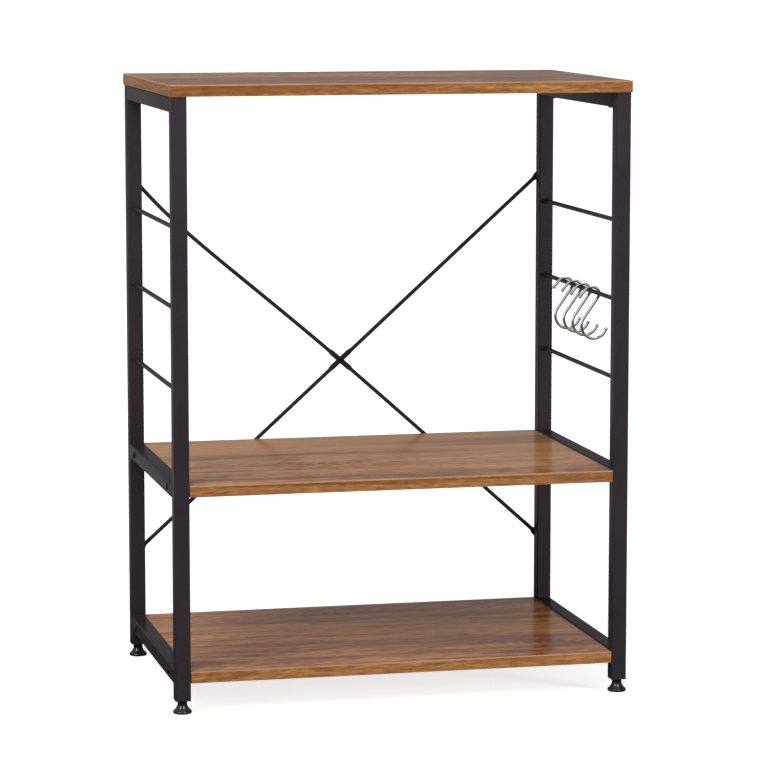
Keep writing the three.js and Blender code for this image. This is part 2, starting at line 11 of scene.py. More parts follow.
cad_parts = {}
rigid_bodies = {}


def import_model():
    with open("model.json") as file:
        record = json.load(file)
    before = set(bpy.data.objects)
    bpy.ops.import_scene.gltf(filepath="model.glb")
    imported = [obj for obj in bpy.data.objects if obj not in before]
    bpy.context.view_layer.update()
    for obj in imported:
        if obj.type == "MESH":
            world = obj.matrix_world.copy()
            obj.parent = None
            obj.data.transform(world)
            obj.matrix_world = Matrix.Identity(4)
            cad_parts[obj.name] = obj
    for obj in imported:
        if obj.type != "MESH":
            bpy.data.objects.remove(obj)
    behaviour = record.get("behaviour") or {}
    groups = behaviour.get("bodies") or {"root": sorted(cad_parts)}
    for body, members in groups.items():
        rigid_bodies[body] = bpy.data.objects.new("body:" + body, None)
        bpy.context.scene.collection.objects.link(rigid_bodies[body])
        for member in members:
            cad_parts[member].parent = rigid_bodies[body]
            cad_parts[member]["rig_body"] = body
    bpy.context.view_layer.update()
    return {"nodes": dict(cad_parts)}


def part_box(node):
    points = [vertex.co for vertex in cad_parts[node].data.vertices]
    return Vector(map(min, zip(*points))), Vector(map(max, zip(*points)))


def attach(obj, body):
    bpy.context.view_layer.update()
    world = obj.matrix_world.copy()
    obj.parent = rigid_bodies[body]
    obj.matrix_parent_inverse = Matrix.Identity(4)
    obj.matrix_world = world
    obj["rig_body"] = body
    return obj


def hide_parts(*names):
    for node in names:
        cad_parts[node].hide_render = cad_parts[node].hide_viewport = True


bl_info = {
    "name": "Bakers Rack",
    "version": (1, 0, 0),
    "blender": (4, 5, 0),
    "location": "3D View > Sidebar > Bakers Rack",
    "description": "Dresses the packed bakers rack: welded frames, wood boards, brace, feet and hooks",
    "category": "Object",
}

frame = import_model()

SIDES = ("left", "right")
ENDS = ("front", "rear")
LEVELS = ("top", "middle", "lower")
CORNERS = [(side, end) for side in SIDES for end in ENDS]
AXES = {"x": Vector((1, 0, 0)), "y": Vector((0, 1, 0)), "z": Vector((0, 0, 1))}
UP = AXES["z"]
FULL_TURN = 2 * math.pi
SHARP_ANGLE = math.radians(32)
MERGE_DISTANCE = 1e-6
CUT_OVERRUN = 0.001


# Settings that a user can change in the sidebar

class TubeSettings(PropertyGroup):
    """Square tube, its rails and rungs, and the welds that join them"""

    wall: FloatProperty(
        name="Wall", description="Wall of the square tube", default=0.0012, unit="LENGTH")
    corner: FloatProperty(
        name="Corner", description="Outer corner radius", default=0.002, unit="LENGTH")
    corner_steps: IntProperty(name="Corner steps", description="Faces round each corner", default=6)
    rim_round: FloatProperty(
        name="Rim", description="Rounding of a tube's cut end", default=0.0003, unit="LENGTH")
    rung_sides: IntProperty(name="Rung sides", description="Faces round each rung", default=32)
    weld: FloatProperty(
        name="Weld", description="Radius of a weld's bead", default=0.0014, unit="LENGTH")
    weld_ripple: FloatProperty(
        name="Ripple", description="How far a bead's ripples swell", default=0.00016, unit="LENGTH")
    weld_pitch: FloatProperty(
        name="Ripple pitch", description="From one ripple of a bead to the next", default=0.0014,
        unit="LENGTH")


class BoardSettings(PropertyGroup):
    """Boards and the band glued round their edges"""

    edge_round: FloatProperty(
        name="Edge", description="Rounding of the band's trimmed edges", default=0.0007,
        unit="LENGTH")
    corner_round: FloatProperty(
        name="Corner", description="Rounding of the band's upright corners", default=0.0012,
        unit="LENGTH")
    trim_highlight_height: FloatProperty(
        name="Trim", description="Height of the pale strip under the band's upper edge", default=0.0016,
        unit="LENGTH")
    glue_line: FloatProperty(
        name="Glue line", description="Groove between the board's face and its band", default=0.00012,
        unit="LENGTH")


class ScrewSettings(PropertyGroup):
    """Socket screws, their threads and their holes"""

    clearance: FloatProperty(
        name="Clearance", description="Round a screw in its hole", default=0.0003, unit="LENGTH")
    shank: FloatProperty(
        name="Shank", description="Diameter of a screw", default=0.005, unit="LENGTH")
    head_height: FloatProperty(
        name="Head", description="Height of a screw's head", default=0.0022, unit="LENGTH")
    socket: FloatProperty(
        name="Socket", description="Across the flats of the socket", default=0.003, unit="LENGTH")
    pitch: FloatProperty(
        name="Pitch", description="Pitch of a screw's thread", default=0.0008, unit="LENGTH")
    bolt_shank: FloatProperty(
        name="Bolt", description="Diameter of the bolt at the crossing", default=0.004,
        unit="LENGTH")
    bolt_head_height: FloatProperty(
        name="Bolt head", description="Height of the bolt's head", default=0.0016, unit="LENGTH")
    bolt_socket: FloatProperty(
        name="Bolt socket", description="Across the flats of the bolt's socket", default=0.00249,
        unit="LENGTH")
    bolt_pitch: FloatProperty(
        name="Bolt pitch", description="Pitch of the bolt's thread", default=0.0007, unit="LENGTH")
    stud_pitch: FloatProperty(
        name="Stud pitch", description="Pitch of a levelling foot's stud", default=0.001,
        unit="LENGTH")
    head_sides: IntProperty(name="Head sides", description="Faces round a screw's head", default=40)
    thread_sides: IntProperty(
        name="Thread sides", description="Faces in one turn of a thread", default=20)


class BraceSettings(PropertyGroup):
    """The two crossed rods, pressed flat at their ends and where they cross"""

    diameter: FloatProperty(
        name="Diameter", description="Diameter of a rod", default=0.0055, unit="LENGTH")
    flat_thickness: FloatProperty(
        name="Flat", description="Thickness of a pressed flat", default=0.0019, unit="LENGTH")
    taper: FloatProperty(
        name="Taper", description="Length over which round turns into flat", default=0.007,
        unit="LENGTH")
    end_width: FloatProperty(
        name="End width", description="Width of an end flat", default=0.0105, unit="LENGTH")
    end_length: FloatProperty(
        name="End length", description="From an end's hole towards the round", default=0.0115,
        unit="LENGTH")
    end_overrun: FloatProperty(
        name="End overrun", description="From an end's hole to the rod's tip", default=0.0065,
        unit="LENGTH")
    cross_width: FloatProperty(
        name="Cross width", description="Width of the flat at the crossing", default=0.0076,
        unit="LENGTH")
    cross_length: FloatProperty(
        name="Cross length", description="Length of that flat to each side", default=0.015,
        unit="LENGTH")
    bow: FloatProperty(
        name="Bow", description="Sideways sag of the front rod", default=0.0076, unit="LENGTH")
    bow_place: FloatProperty(
        name="Bow place", description="Where along its upper arm the front rod sags", default=0.28)
    sides: IntProperty(name="Sides", description="Faces round a rod", default=28)


class HookSettings(PropertyGroup):
    """An S hook of round wire; radii are those of the wire's middle line"""

    wire: FloatProperty(
        name="Wire", description="Diameter of the wire", default=0.0040, unit="LENGTH")
    bead: FloatProperty(
        name="Bead", description="Diameter of each end's bead", default=0.0052, unit="LENGTH")
    rest_gap: FloatProperty(
        name="Rest gap", description="Between the wire and the rung", default=0.0003, unit="LENGTH")
    tip: FloatProperty(
        name="Tip", description="Straight length at the top", default=0.0105, unit="LENGTH")
    crest: FloatProperty(
        name="Crest", description="Radius over the rung", default=0.0122, unit="LENGTH")
    neck: FloatProperty(
        name="Neck", description="Radius from the crest to the shank", default=0.0079,
        unit="LENGTH")
    shank: FloatProperty(
        name="Shank", description="Straight middle length", default=0.0350, unit="LENGTH")
    bowl: FloatProperty(
        name="Bowl", description="Radius of the lower bend", default=0.0174, unit="LENGTH")
    crest_start: FloatProperty(
        name="Crest start", description="Where the crest's arc starts", default=math.radians(140),
        subtype="ANGLE")
    crest_end: FloatProperty(
        name="Crest end", description="Where the crest's arc ends", default=math.radians(50),
        subtype="ANGLE")
    lean: FloatProperty(
        name="Lean", description="Lean of the shank from upright", default=math.radians(35),
        subtype="ANGLE")
    bowl_end: FloatProperty(
        name="Bowl end", description="Where the bowl's arc ends", default=math.radians(-17),
        subtype="ANGLE")
    sides: IntProperty(name="Sides", description="Faces round the wire", default=24)
    bend_step: FloatProperty(
        name="Bend step", description="Turn between two rings of a bend", default=math.radians(6),
        subtype="ANGLE")


class FootSettings(PropertyGroup):
    """Levelling feet, their studs and the plugs that they screw into"""

    neck: FloatProperty(
        name="Neck", description="Diameter of the neck", default=0.0126, unit="LENGTH")
    recess: FloatProperty(
        name="Recess", description="Depth of the hollow under a foot", default=0.0006,
        unit="LENGTH")
    sides: IntProperty(name="Sides", description="Faces round a foot", default=56)
    plug_rim: FloatProperty(
        name="Plug rim", description="Chamfer round a plug's ends", default=0.0005, unit="LENGTH")


class FinishSettings(PropertyGroup):
    """Colours of the rack's finishes"""

    def tint(name, description, value):
        return FloatVectorProperty(
            name=name, description=description, default=value, subtype="COLOR", size=3, min=0, max=1)

    coat: tint("Coat", "Black powder coat on the steel", (0.0295, 0.0235, 0.0280))
    grain_dark: tint("Dark grain", "Darkest lines of the wood grain", (0.120, 0.042, 0.016))
    grain_mid: tint("Middle grain", "Main tone of the wood grain", (0.370, 0.143, 0.051))
    grain_light: tint("Light grain", "Palest stripes of the wood grain", (0.575, 0.285, 0.108))
    grain_grey: tint("Grey grain", "Cool stripes between the brown ones", (0.190, 0.080, 0.060))
    band_dark: tint("Dark band", "Darkest marks of the edge band", (0.160, 0.057, 0.019))
    band_mid: tint("Middle band", "Main tone of the edge band", (0.305, 0.128, 0.043))
    band_light: tint("Light band", "Palest marks of the edge band", (0.45, 0.230, 0.086))
    # The pale strip's colour: the band's trimmed edge, painted paler as a highlight along its upper
    # edge only.
    trim_and_highlight: tint("Trim", "Trimmed edge of the band", (0.44, 0.255, 0.145))
    screw: tint("Screw", "Black oxide on the screws", (0.012, 0.012, 0.013))
    foot: tint("Foot", "Glossy plastic of the feet", (0.008, 0.0075, 0.009))
    plug: tint("Plug", "Plain plastic of the plugs", (0.02, 0.02, 0.02))
    stud: tint("Stud", "Zinc plate on the studs", (0.58, 0.58, 0.56))
    chrome: tint("Chrome", "Bright plate on the hooks", (0.84, 0.84, 0.86))


class StageSettings(PropertyGroup):
    """Camera, lamps and floor"""

    camera: FloatVectorProperty(
        name="Camera", description="Place of the camera", default=(-0.9942, -4.3699, 0.9799),
        subtype="TRANSLATION")
    yaw: FloatProperty(
        name="Yaw", description="Turn of the camera to the right", default=math.radians(13.033),
        subtype="ANGLE")
    pitch: FloatProperty(
        name="Pitch", description="Tilt of the camera below level", default=math.radians(7.458),
        subtype="ANGLE")
    focal_pixels: FloatProperty(
        name="Focal", description="Focal length in the picture, in pixels", default=3380.2)
    world: FloatProperty(name="World", description="Light from all round", default=0.25)
    front_gloss: FloatProperty(
        name="Front gloss", description="Brightness of the studio's front in reflections", default=1.0)
    side_gloss: FloatProperty(
        name="Side gloss", description="Brightness of the studio's sides in reflections", default=0.07)
    back_gloss: FloatProperty(
        name="Back gloss", description="Brightness of the backdrop in reflections", default=0.45)
    key: FloatProperty(
        name="Key", description="Power of the left softbox", default=86.0, unit="POWER")
    fill: FloatProperty(
        name="Fill", description="Power of the right softbox", default=66.0, unit="POWER")
    foot_lamp: FloatProperty(
        name="Foot lamps", description="Power of each lamp that only the feet mirror", default=110.0,
        unit="POWER")
    rear_lamp: FloatProperty(
        name="Rear lamp", description="Power of the lamp that lights only the shaded rear post",
        default=44.0, unit="POWER")
    floor: FloatProperty(name="Floor", description="Paleness of the floor", default=0.86)
    floor_lift: FloatProperty(
        name="Floor lift", description="White added to the floor for the camera", default=0.76)
    backdrop_start: FloatProperty(
        name="Backdrop", description="Distance at which the floor turns into white backdrop",
        default=0.9, unit="LENGTH")


SETTINGS = {
    "rack_tube": TubeSettings,
    "rack_board": BoardSettings,
    "rack_screw": ScrewSettings,
    "rack_brace": BraceSettings,
    "rack_hook": HookSettings,
    "rack_foot": FootSettings,
    "rack_finish": FinishSettings,
    "rack_stage": StageSettings,
}


# Node trees

def add_node(tree, kind, inputs=None, **values):
    """Adds a node; inputs are numbers, colours or sockets, by name or by place."""
    node = tree.nodes.new(kind)
    for name, value in values.items():
        setattr(node, name, value)
    for name, value in (inputs or {}).items():
        socket = node.inputs[name]
        if isinstance(value, bpy.types.NodeSocket):
            tree.links.new(value, socket)
        else:
            socket.default_value = value
    return node


def calc(tree, operation, *terms, clamp=False):
    return add_node(
        tree, "ShaderNodeMath", dict(enumerate(terms)), operation=operation, use_clamp=clamp).outputs[0]


def plus(tree, value, *others):
    for other in others:
        value = calc(tree, "ADD", value, other)
    return value


def times(tree, value, *others):
    for other in others:
        value = calc(tree, "MULTIPLY", value, other)
    return value


def vector_calc(tree, operation, first, second):
    made = add_node(tree, "ShaderNodeVectorMath", {0: first, 1: second}, operation=operation).outputs
    return made["Value" if operation == "DOT_PRODUCT" else "Vector"]


def vector_parts(tree, vector):
    return add_node(tree, "ShaderNodeSeparateXYZ", {0: vector}).outputs


def vector_of(tree, x, y, z):
    return add_node(tree, "ShaderNodeCombineXYZ", {0: x, 1: y, 2: z}).outputs[0]


def noise_at(tree, vector, stretch, detail=2.0, roughness=0.5):
    """Noise stretched along each axis: stretch is how many cells it has in a metre."""
    place = vector_calc(tree, "MULTIPLY", vector, stretch)
    texture = {"Vector": place, "Scale": 1.0, "Detail": detail, "Roughness": roughness}
    return add_node(tree, "ShaderNodeTexNoise", texture).outputs["Fac"]


def spread(tree, value, low, high, to_low=0.0, to_high=1.0):
    """Stretches a value from one range to another, and holds it there."""
    mapped = {"Value": value, "From Min": low, "From Max": high, "To Min": to_low, "To Max": to_high}
    return add_node(tree, "ShaderNodeMapRange", mapped).outputs["Result"]


def mix_values(tree, factor, first, second):
    return add_node(tree, "ShaderNodeMix", {0: factor, 2: first, 3: second}).outputs[0]


def mix_colour(tree, factor, first, second, blend="MIX"):
    colours = {0: factor, 6: first, 7: second}
    return add_node(tree, "ShaderNodeMix", colours, data_type="RGBA", blend_type=blend).outputs[2]


def rgba(colour, scale=1.0):
    return (colour[0] * scale, colour[1] * scale, colour[2] * scale, 1.0)


def new_group(name, inputs, outputs):
    """A node group with float sockets, apart from its vector; returns it with its two ends."""
    group = bpy.data.node_groups.new(name, "ShaderNodeTree")
    group.interface.new_socket("Vector", in_out="INPUT", socket_type="NodeSocketVector")
    for socket, default in inputs.items():
        made = group.interface.new_socket(socket, in_out="INPUT", socket_type="NodeSocketFloat")
        made.default_value = default
    for socket in outputs:
        group.interface.new_socket(socket, in_out="OUTPUT", socket_type="NodeSocketFloat")
    start = group.nodes.new("NodeGroupInput")
    end = group.nodes.new("NodeGroupOutput")
    return group, start.outputs, end.inputs


GRAIN_INPUTS = {
    "Ring Width": 0.0095, "Figure Spacing": 0.13, "Figure Slope": 0.62, "Figure Length": 0.37,
    "Figure Arch": 1.35,
}

# Stretched noises: how many cells each has in a metre along X, Y and Z, and its detail
GRAIN_NOISES = {
    "Bands and painted shade": ((2.0, 27.0, 27.0), 2.0),
    "Streaks": ((7.0, 75.0, 75.0), 3.0),
    "Flecks": ((46.0, 160.0, 160.0), 3.0),
    "Fibres": ((45.0, 620.0, 620.0), 2.0),
}

# How far a pattern is shifted for each metre of height, and at the floor
CUT_ALONG = (2.08, -0.464)
CUT_ACROSS = (-0.291, 0.136)
FIGURE_ALONG = (1.164, -0.364)
LANE_SHIFT = 0.27

# About the heights of the boards' upper faces, between which the tones and the painted shade change
LOWER_FACE, MIDDLE_FACE, TOP_FACE = 0.055, 0.29, 0.80


def shifted(tree, value, height, shift):
    return plus(tree, value, calc(tree, "MULTIPLY_ADD", height, *shift))


def board_cut(group, x, y, z):
    """Each board is a cut from another place of one long pattern; its lines wander to each side."""
    wander = 0.034
    along = shifted(group, x, z, CUT_ALONG)
    across = shifted(group, y, z, CUT_ACROSS)
    bend = noise_at(group, vector_of(group, along, across, z), (2.6, 8.0, 8.0))
    bent = plus(group, across, spread(group, bend, 0.0, 1.0, -wander, wander))
    return bent, vector_of(group, along, bent, z)


def knot_swell(group, place):
    """Sparse knots, round which the rings swell: one in a knot's middle, and zero away from it."""
    knot_cells, knot_reach, without_knot = (3.6, 9.0, 2.0), 0.26, 0.66
    cells = {"Vector": vector_calc(group, "MULTIPLY", place, knot_cells), "Scale": 1.0}
    knots = add_node(group, "ShaderNodeTexVoronoi", cells)
    lot = vector_parts(group, knots.outputs["Color"])[0]
    near = spread(group, knots.outputs["Distance"], 0.0, knot_reach, 1.0, 0.0)
    swell = times(group, near, calc(group, "GREATER_THAN", lot, without_knot))
    return calc(group, "POWER", swell, 2.0)


def figure_place(group, given, x, z, bent):
    """How far along and how far to the side of its arched figure a point lies."""
    spacing, reach = given["Figure Spacing"], given["Figure Length"]
    lane = calc(group, "ROUND", calc(group, "DIVIDE", bent, times(group, spacing, 2.0)))
    along = calc(group, "MULTIPLY_ADD", lane, LANE_SHIFT, shifted(group, x, z, FIGURE_ALONG))
    along = calc(group, "WRAP", along, reach, times(group, reach, -1.0))
    return along, calc(group, "PINGPONG", bent, spacing)


def arched_rings(group, given, along, aside, place, swell):
    """Rings about a line that dips below the face and comes back, which gives arched figures."""
    waver_width, knot_width = 0.012, 0.010
    depth = times(group, calc(group, "ABSOLUTE", along), given["Figure Slope"])
    arched = times(group, aside, given["Figure Arch"])
    squares = calc(group, "POWER", arched, 2.0), calc(group, "POWER", depth, 2.0)
    waver = noise_at(group, place, (14.0, 40.0, 40.0), detail=3.0)
    radius = plus(group, calc(group, "SQRT", plus(group, *squares)),
                  spread(group, waver, 0.0, 1.0, 0.0, waver_width), times(group, swell, knot_width))
    turn = calc(group, "FRACT", calc(group, "DIVIDE", radius, given["Ring Width"]))
    off_middle = calc(group, "ABSOLUTE", calc(group, "SUBTRACT", turn, 0.5))
    patch = noise_at(group, place, (9.0, 6.0, 6.0), detail=1.0)
    shown = times(group, spread(group, along, -0.21, -0.12, 0.10, 1.0),
                  spread(group, along, -0.02, 0.02, 1.0, 0.10),
                  spread(group, aside, 0.020, 0.060, 1.0, 0.0),
                  spread(group, patch, 0.35, 0.60, 0.45, 1.0))
    return times(group, spread(group, off_middle, 0.08, 0.32, 0.6, -0.4), shown)


def board_tones_and_painted_shade(group, x, z, bent):
    """Broad tones, each of which makes one board or one part of it paler or darker; the two tones by
    height are painted shade, which sets the boards apart as the light falls on each.
    """
    # Painted shade by height: the lower board is darker than the middle one, and the top board darker
    # still, as the light falls on each.
    lower_painted_shade = spread(group, z, LOWER_FACE, MIDDLE_FACE, 0.03, 0.34)
    top_painted_shade = spread(group, z, 0.30, TOP_FACE, 0.0, -0.48)
    dark_front = spread(group, bent, -0.13, -0.07, -0.45, 0.0)
    pale_right = times(group, spread(group, x, -0.08, 0.16, 0.0, 0.60), spread(group, bent, -0.09, 0.0),
                       spread(group, z, 0.10, MIDDLE_FACE), spread(group, z, 0.30, 0.50, 1.0, 0.0))
    pale_rear = times(group, spread(group, bent, 0.06, 0.13), spread(group, bent, 0.24, 0.29, 1.0, 0.0),
                      spread(group, z, LOWER_FACE, MIDDLE_FACE, 0.48, 0.80))
    return lower_painted_shade, top_painted_shade, dark_front, pale_right, pale_rear


def wood_group():
    """Flat-sawn wood with its grain along X: bands, streaks, flecks, fibres, arched rings and knots;
    the bands also carry painted shade by board height.
    """
    group, given, made = new_group("Rack wood grain", GRAIN_INPUTS, (*GRAIN_NOISES, "Rings", "Knots"))
    x, y, z = vector_parts(group, given["Vector"])
    bent, place = board_cut(group, x, y, z)
    swell = knot_swell(group, place)
    along, aside = figure_place(group, given, x, z, bent)
    values = {"Rings": arched_rings(group, given, along, aside, place, swell), "Knots": swell}
    for output, (stretch, detail) in GRAIN_NOISES.items():
        value = noise_at(group, place, stretch, detail, roughness=0.6)
        values[output] = calc(group, "SUBTRACT", spread(group, value, 0.30, 0.70), 0.5)
    # The bands also carry the board tones and the painted shade by height.
    values["Bands and painted shade"] = plus(group, values["Bands and painted shade"], *board_tones_and_painted_shade(group, x, z, bent))
    for output, value in values.items():
        group.links.new(value, made[output])
    return group


def surface_group():
    """Slow and fast unevenness of a made surface, and its height for a bump."""
    inputs = {"Slow Scale": 12.0, "Fast Scale": 1800.0}
    group, given, made = new_group("Rack surface texture", inputs, ("Slow", "Fast"))
    for scale, output, detail in (("Slow Scale", "Slow", 4.0), ("Fast Scale", "Fast", 2.0)):
        texture = {"Vector": given["Vector"], "Scale": given[scale], "Detail": detail}
        value = add_node(group, "ShaderNodeTexNoise", texture).outputs["Fac"]
        group.links.new(spread(group, value, 0.3, 0.7), made[output])
    return group


def shared_group(name, build):
    return bpy.data.node_groups.get(name) or build()


def new_material(name):
    """An empty material with its Principled shader; returns the material, its tree and the shader."""
    material = bpy.data.materials.new(name)
    material.use_nodes = True
    shader = material.node_tree.nodes["Principled BSDF"]
    return material, material.node_tree, shader


def object_place(tree):
    return add_node(tree, "ShaderNodeTexCoord").outputs["Object"]


def bump(tree, shader, height, distance):
    made = add_node(tree, "ShaderNodeBump", {"Height": height, "Distance": distance})
    tree.links.new(made.outputs[0], shader.inputs["Normal"])


def even_finish(name, colour, tone, roughness, fast_scale, height, metallic=0.0, specular=0.5,
                coat=0.0, coat_roughness=0.3):
    """A plain finish: its tone and gloss wander a little, and its surface is finely uneven."""
    material, tree, shader = new_material(name)
    group = shared_group("Rack surface texture", surface_group)
    texture = add_node(tree, "ShaderNodeGroup", node_tree=group)
    tree.links.new(object_place(tree), texture.inputs["Vector"])
    texture.inputs["Fast Scale"].default_value = fast_scale
    slow, fast = texture.outputs["Slow"], texture.outputs["Fast"]
    mixed = mix_colour(tree, slow, rgba(colour, 1 - tone), rgba(colour, 1 + tone))
    tree.links.new(mixed, shader.inputs["Base Color"])
    both = plus(tree, times(tree, slow, 0.7), times(tree, fast, 0.3))
    tree.links.new(spread(tree, both, 0.0, 1.0, *roughness), shader.inputs["Roughness"])
    for socket, value in (("Metallic", metallic), ("Specular IOR Level", specular),
                          ("Coat Weight", coat), ("Coat Roughness", coat_roughness)):
        shader.inputs[socket].default_value = value
    bump(tree, shader, fast, height)
    return material


# Where a grain's dark, middle and light colours lie on its scale from zero to one
TONE_PLACES = (0.18, 0.50, 0.84)
RED_CAST, YELLOW_CAST = (1.04, 0.965, 0.99), (0.985, 1.015, 0.90)


def tone_ramp(tree, level, tones):
    ramp = add_node(tree, "ShaderNodeValToRGB", {0: level})
    stops = ramp.color_ramp.elements
    stops.new(TONE_PLACES[1])
    for stop, position, tone in zip(stops, TONE_PLACES, tones):
        stop.position = position
        stop.color = rgba(tone)
    return ramp.outputs["Color"]


def wood_finish(name, place, tones, grey, coat, coat_roughness, shares):
    """Printed wood grain under a clear satin face; tones are its dark, middle and light colours."""
    material, tree, shader = new_material(name)
    group = shared_group("Rack wood grain", wood_group)
    grain = add_node(tree, "ShaderNodeGroup", node_tree=group)
    tree.links.new(place(tree), grain.inputs["Vector"])
    level = 0.5
    for output, share in shares.items():
        level = calc(tree, "MULTIPLY_ADD", grain.outputs[output], share, level)

    hue = noise_at(tree, place(tree), (4.0, 62.0, 47.0))
    cast = mix_colour(tree, spread(tree, hue, 0.40, 0.60), rgba(RED_CAST), rgba(YELLOW_CAST))
    colour = mix_colour(tree, 1.0, tone_ramp(tree, level, tones), cast, blend="MULTIPLY")
    cool = noise_at(tree, place(tree), (1.6, 24.0, 31.0), detail=3.0)
    colour = mix_colour(tree, spread(tree, cool, 0.50, 0.66, 0.0, 0.60), colour, rgba(grey))
    knots = times(tree, grain.outputs["Knots"], 0.55)
    colour = mix_colour(tree, knots, colour, rgba(grey, 0.55))
    tree.links.new(colour, shader.inputs["Base Color"])

    fibres = plus(tree, grain.outputs["Fibres"], 0.5)
    tree.links.new(spread(tree, fibres, 0.0, 1.0, 0.45, 0.60), shader.inputs["Roughness"])
    shader.inputs["Specular IOR Level"].default_value = 0.0
    tree.links.new(spread(tree, fibres, 0.0, 0.4, coat * 0.7, coat), shader.inputs["Coat Weight"])
    shader.inputs["Coat Roughness"].default_value = coat_roughness
    bump(tree, shader, fibres, 0.00002)
    return material


def band_place(tree):
    """The band's print is the board's at a smaller scale."""
    unwrapped = add_node(tree, "ShaderNodeUVMap", uv_map="band").outputs["UV"]
    return vector_calc(tree, "MULTIPLY", unwrapped, (1.3, 2.2, 1.0))


def coated_steel(name, c):
    return even_finish(name, c.coat, tone=0.10, roughness=(0.50, 0.62), fast_scale=2600.0,
                       height=0.00002, specular=0.0, coat=0.28, coat_roughness=0.30)


def wood_board(name, c):
    tones = c.grain_dark, c.grain_mid, c.grain_light
    shares = {"Bands and painted shade": 0.36, "Streaks": 0.48, "Flecks": 0.40, "Fibres": 0.20, "Rings": 0.24}
    return wood_finish(name, object_place, tones, c.grain_grey, coat=0.50, coat_roughness=0.20,
                       shares=shares)


def edge_band(name, c):
    tones = c.band_dark, c.band_mid, c.band_light
    shares = {"Bands and painted shade": 0.12, "Streaks": 0.34, "Flecks": 0.46, "Fibres": 0.22}
    return wood_finish(name, band_place, tones, c.band_dark, coat=0.28, coat_roughness=0.30,
                       shares=shares)


# The pale strip under the band's upper edge: a trimmed edge, with a painted highlight where the light
# catches it.
def band_trim_and_highlight(name, c):
    return even_finish(name, c.trim_and_highlight, tone=0.15, roughness=(0.45, 0.60), fast_scale=900.0,
                       height=0.00002, specular=0.2)


def black_screw(name, c):
    return even_finish(name, c.screw, tone=0.25, roughness=(0.26, 0.40), fast_scale=3000.0,
                       height=0.00001, metallic=0.55)


def foot_plastic(name, c):
    return even_finish(name, c.foot, tone=0.15, roughness=(0.06, 0.12), fast_scale=700.0,
                       height=0.000006, specular=0.22)


def plug_plastic(name, c):
    return even_finish(name, c.plug, tone=0.15, roughness=(0.45, 0.60), fast_scale=1500.0,
                       height=0.00002)


def bare_steel(name, c):
    return even_finish(name, c.stud, tone=0.10, roughness=(0.22, 0.36), fast_scale=2200.0,
                       height=0.00001, metallic=1.0)


def chrome(name, c):
    return even_finish(name, c.chrome, tone=0.03, roughness=(0.06, 0.12), fast_scale=1500.0,
                       height=0.000004, metallic=1.0)


MATERIALS = {make.__name__: make for make in (
    coated_steel, wood_board, edge_band, band_trim_and_highlight, black_screw, foot_plastic, plug_plastic, bare_steel,
    chrome)}


def finish_named(slot):
    """The material of a slot, made when it is first asked for."""
    name = "rack " + slot
    return bpy.data.materials.get(name) or MATERIALS[slot](name, bpy.context.scene.rack_finish)


# Shapes

def turned_to(axis, place):
    """A matrix that takes a shape drawn up the Z axis to stand along an axis from a place."""
    return Matrix.Translation(place) @ UP.rotation_difference(axis).to_matrix().to_4x4()


def move(bm, matrix):
    bmesh.ops.transform(bm, matrix=matrix, verts=bm.verts)
    return bm


def move_by(bm, offset):
    return move(bm, Matrix.Translation(offset))


def tidy(bm, recalculate=True):
    bmesh.ops.remove_doubles(bm, verts=bm.verts, dist=MERGE_DISTANCE)
    bmesh.ops.dissolve_degenerate(bm, edges=bm.edges, dist=MERGE_DISTANCE)
    if recalculate:
        bmesh.ops.recalc_face_normals(bm, faces=bm.faces)
    return bm


def bevel(bm, edges, offset, steps):
    bmesh.ops.bevel(bm, geom=edges, offset=offset, offset_type="OFFSET", segments=steps, profile=0.5,
                    affect="EDGES", material=-1, clamp_overlap=True)


def edges_along(bm, axis):
    """Edges that run along one axis."""
    return [e for e in bm.edges if abs((e.verts[1].co - e.verts[0].co).normalized().dot(axis)) > 0.999]


def level_edges(bm):
    return [e for e in bm.edges if abs(e.verts[0].co.z - e.verts[1].co.z) < MERGE_DISTANCE]


def end_edges(bm, half):
    """Edges in the upper and lower ends of a shape that reaches as far below zero as above."""
    return [e for e in bm.edges if all(abs(abs(v.co.z) - half) < MERGE_DISTANCE for v in e.verts)]


def stands_upright(face):
    return abs(face.normal.z) < 0.1


def block(size):
    bm = bmesh.new()
    bmesh.ops.create_cube(bm, size=1.0)
    bmesh.ops.scale(bm, vec=size, verts=bm.verts)
    return bm


def round_bar(radius, low, high, sides):
    """A round bar from one height to another."""
    bm = bmesh.new()
    middle = Matrix.Translation((0, 0, (low + high) / 2))
    bmesh.ops.create_cone(bm, cap_ends=True, segments=sides, radius1=radius, radius2=radius,
                          depth=high - low, matrix=middle)
    return bm


def hexagon(flats, low, high):
    """A six-sided bar of a width across its flats."""
    return round_bar(flats / 2 / math.cos(math.pi / 6), low, high, 6)


def chain(bm, points):
    """Points joined one after another; returns their vertices and edges."""
    verts = [bm.verts.new(point) for point in points]
    return verts + [bm.edges.new(pair) for pair in zip(verts, verts[1:])]


def spin(bm, outline, steps, rise=0.0, merge=True):
    """Takes an outline once round the Z axis; a helix rises at each step and isn't merged."""
    bmesh.ops.spin(bm, geom=outline, cent=(0, 0, 0), axis=UP, dvec=(0, 0, rise), angle=FULL_TURN,
                   space=Matrix.Identity(4), steps=steps, use_merge=merge, use_normal_flip=False,
                   use_duplicate=False)


def spun(profile, sides):
    """A shape turned about the Z axis from a profile of (radius, height) points."""
    bm = bmesh.new()
    spin(bm, chain(bm, [(radius, 0, height) for radius, height in profile]), sides)
    return tidy(bm)


def join(first, *others):
    """Puts closed shapes into one mesh."""
    mesh = bpy.data.meshes.new("joined")
    for other in others:
        other.to_mesh(mesh)
        first.from_mesh(mesh)
        other.free()
    bpy.data.meshes.remove(mesh)
    return first


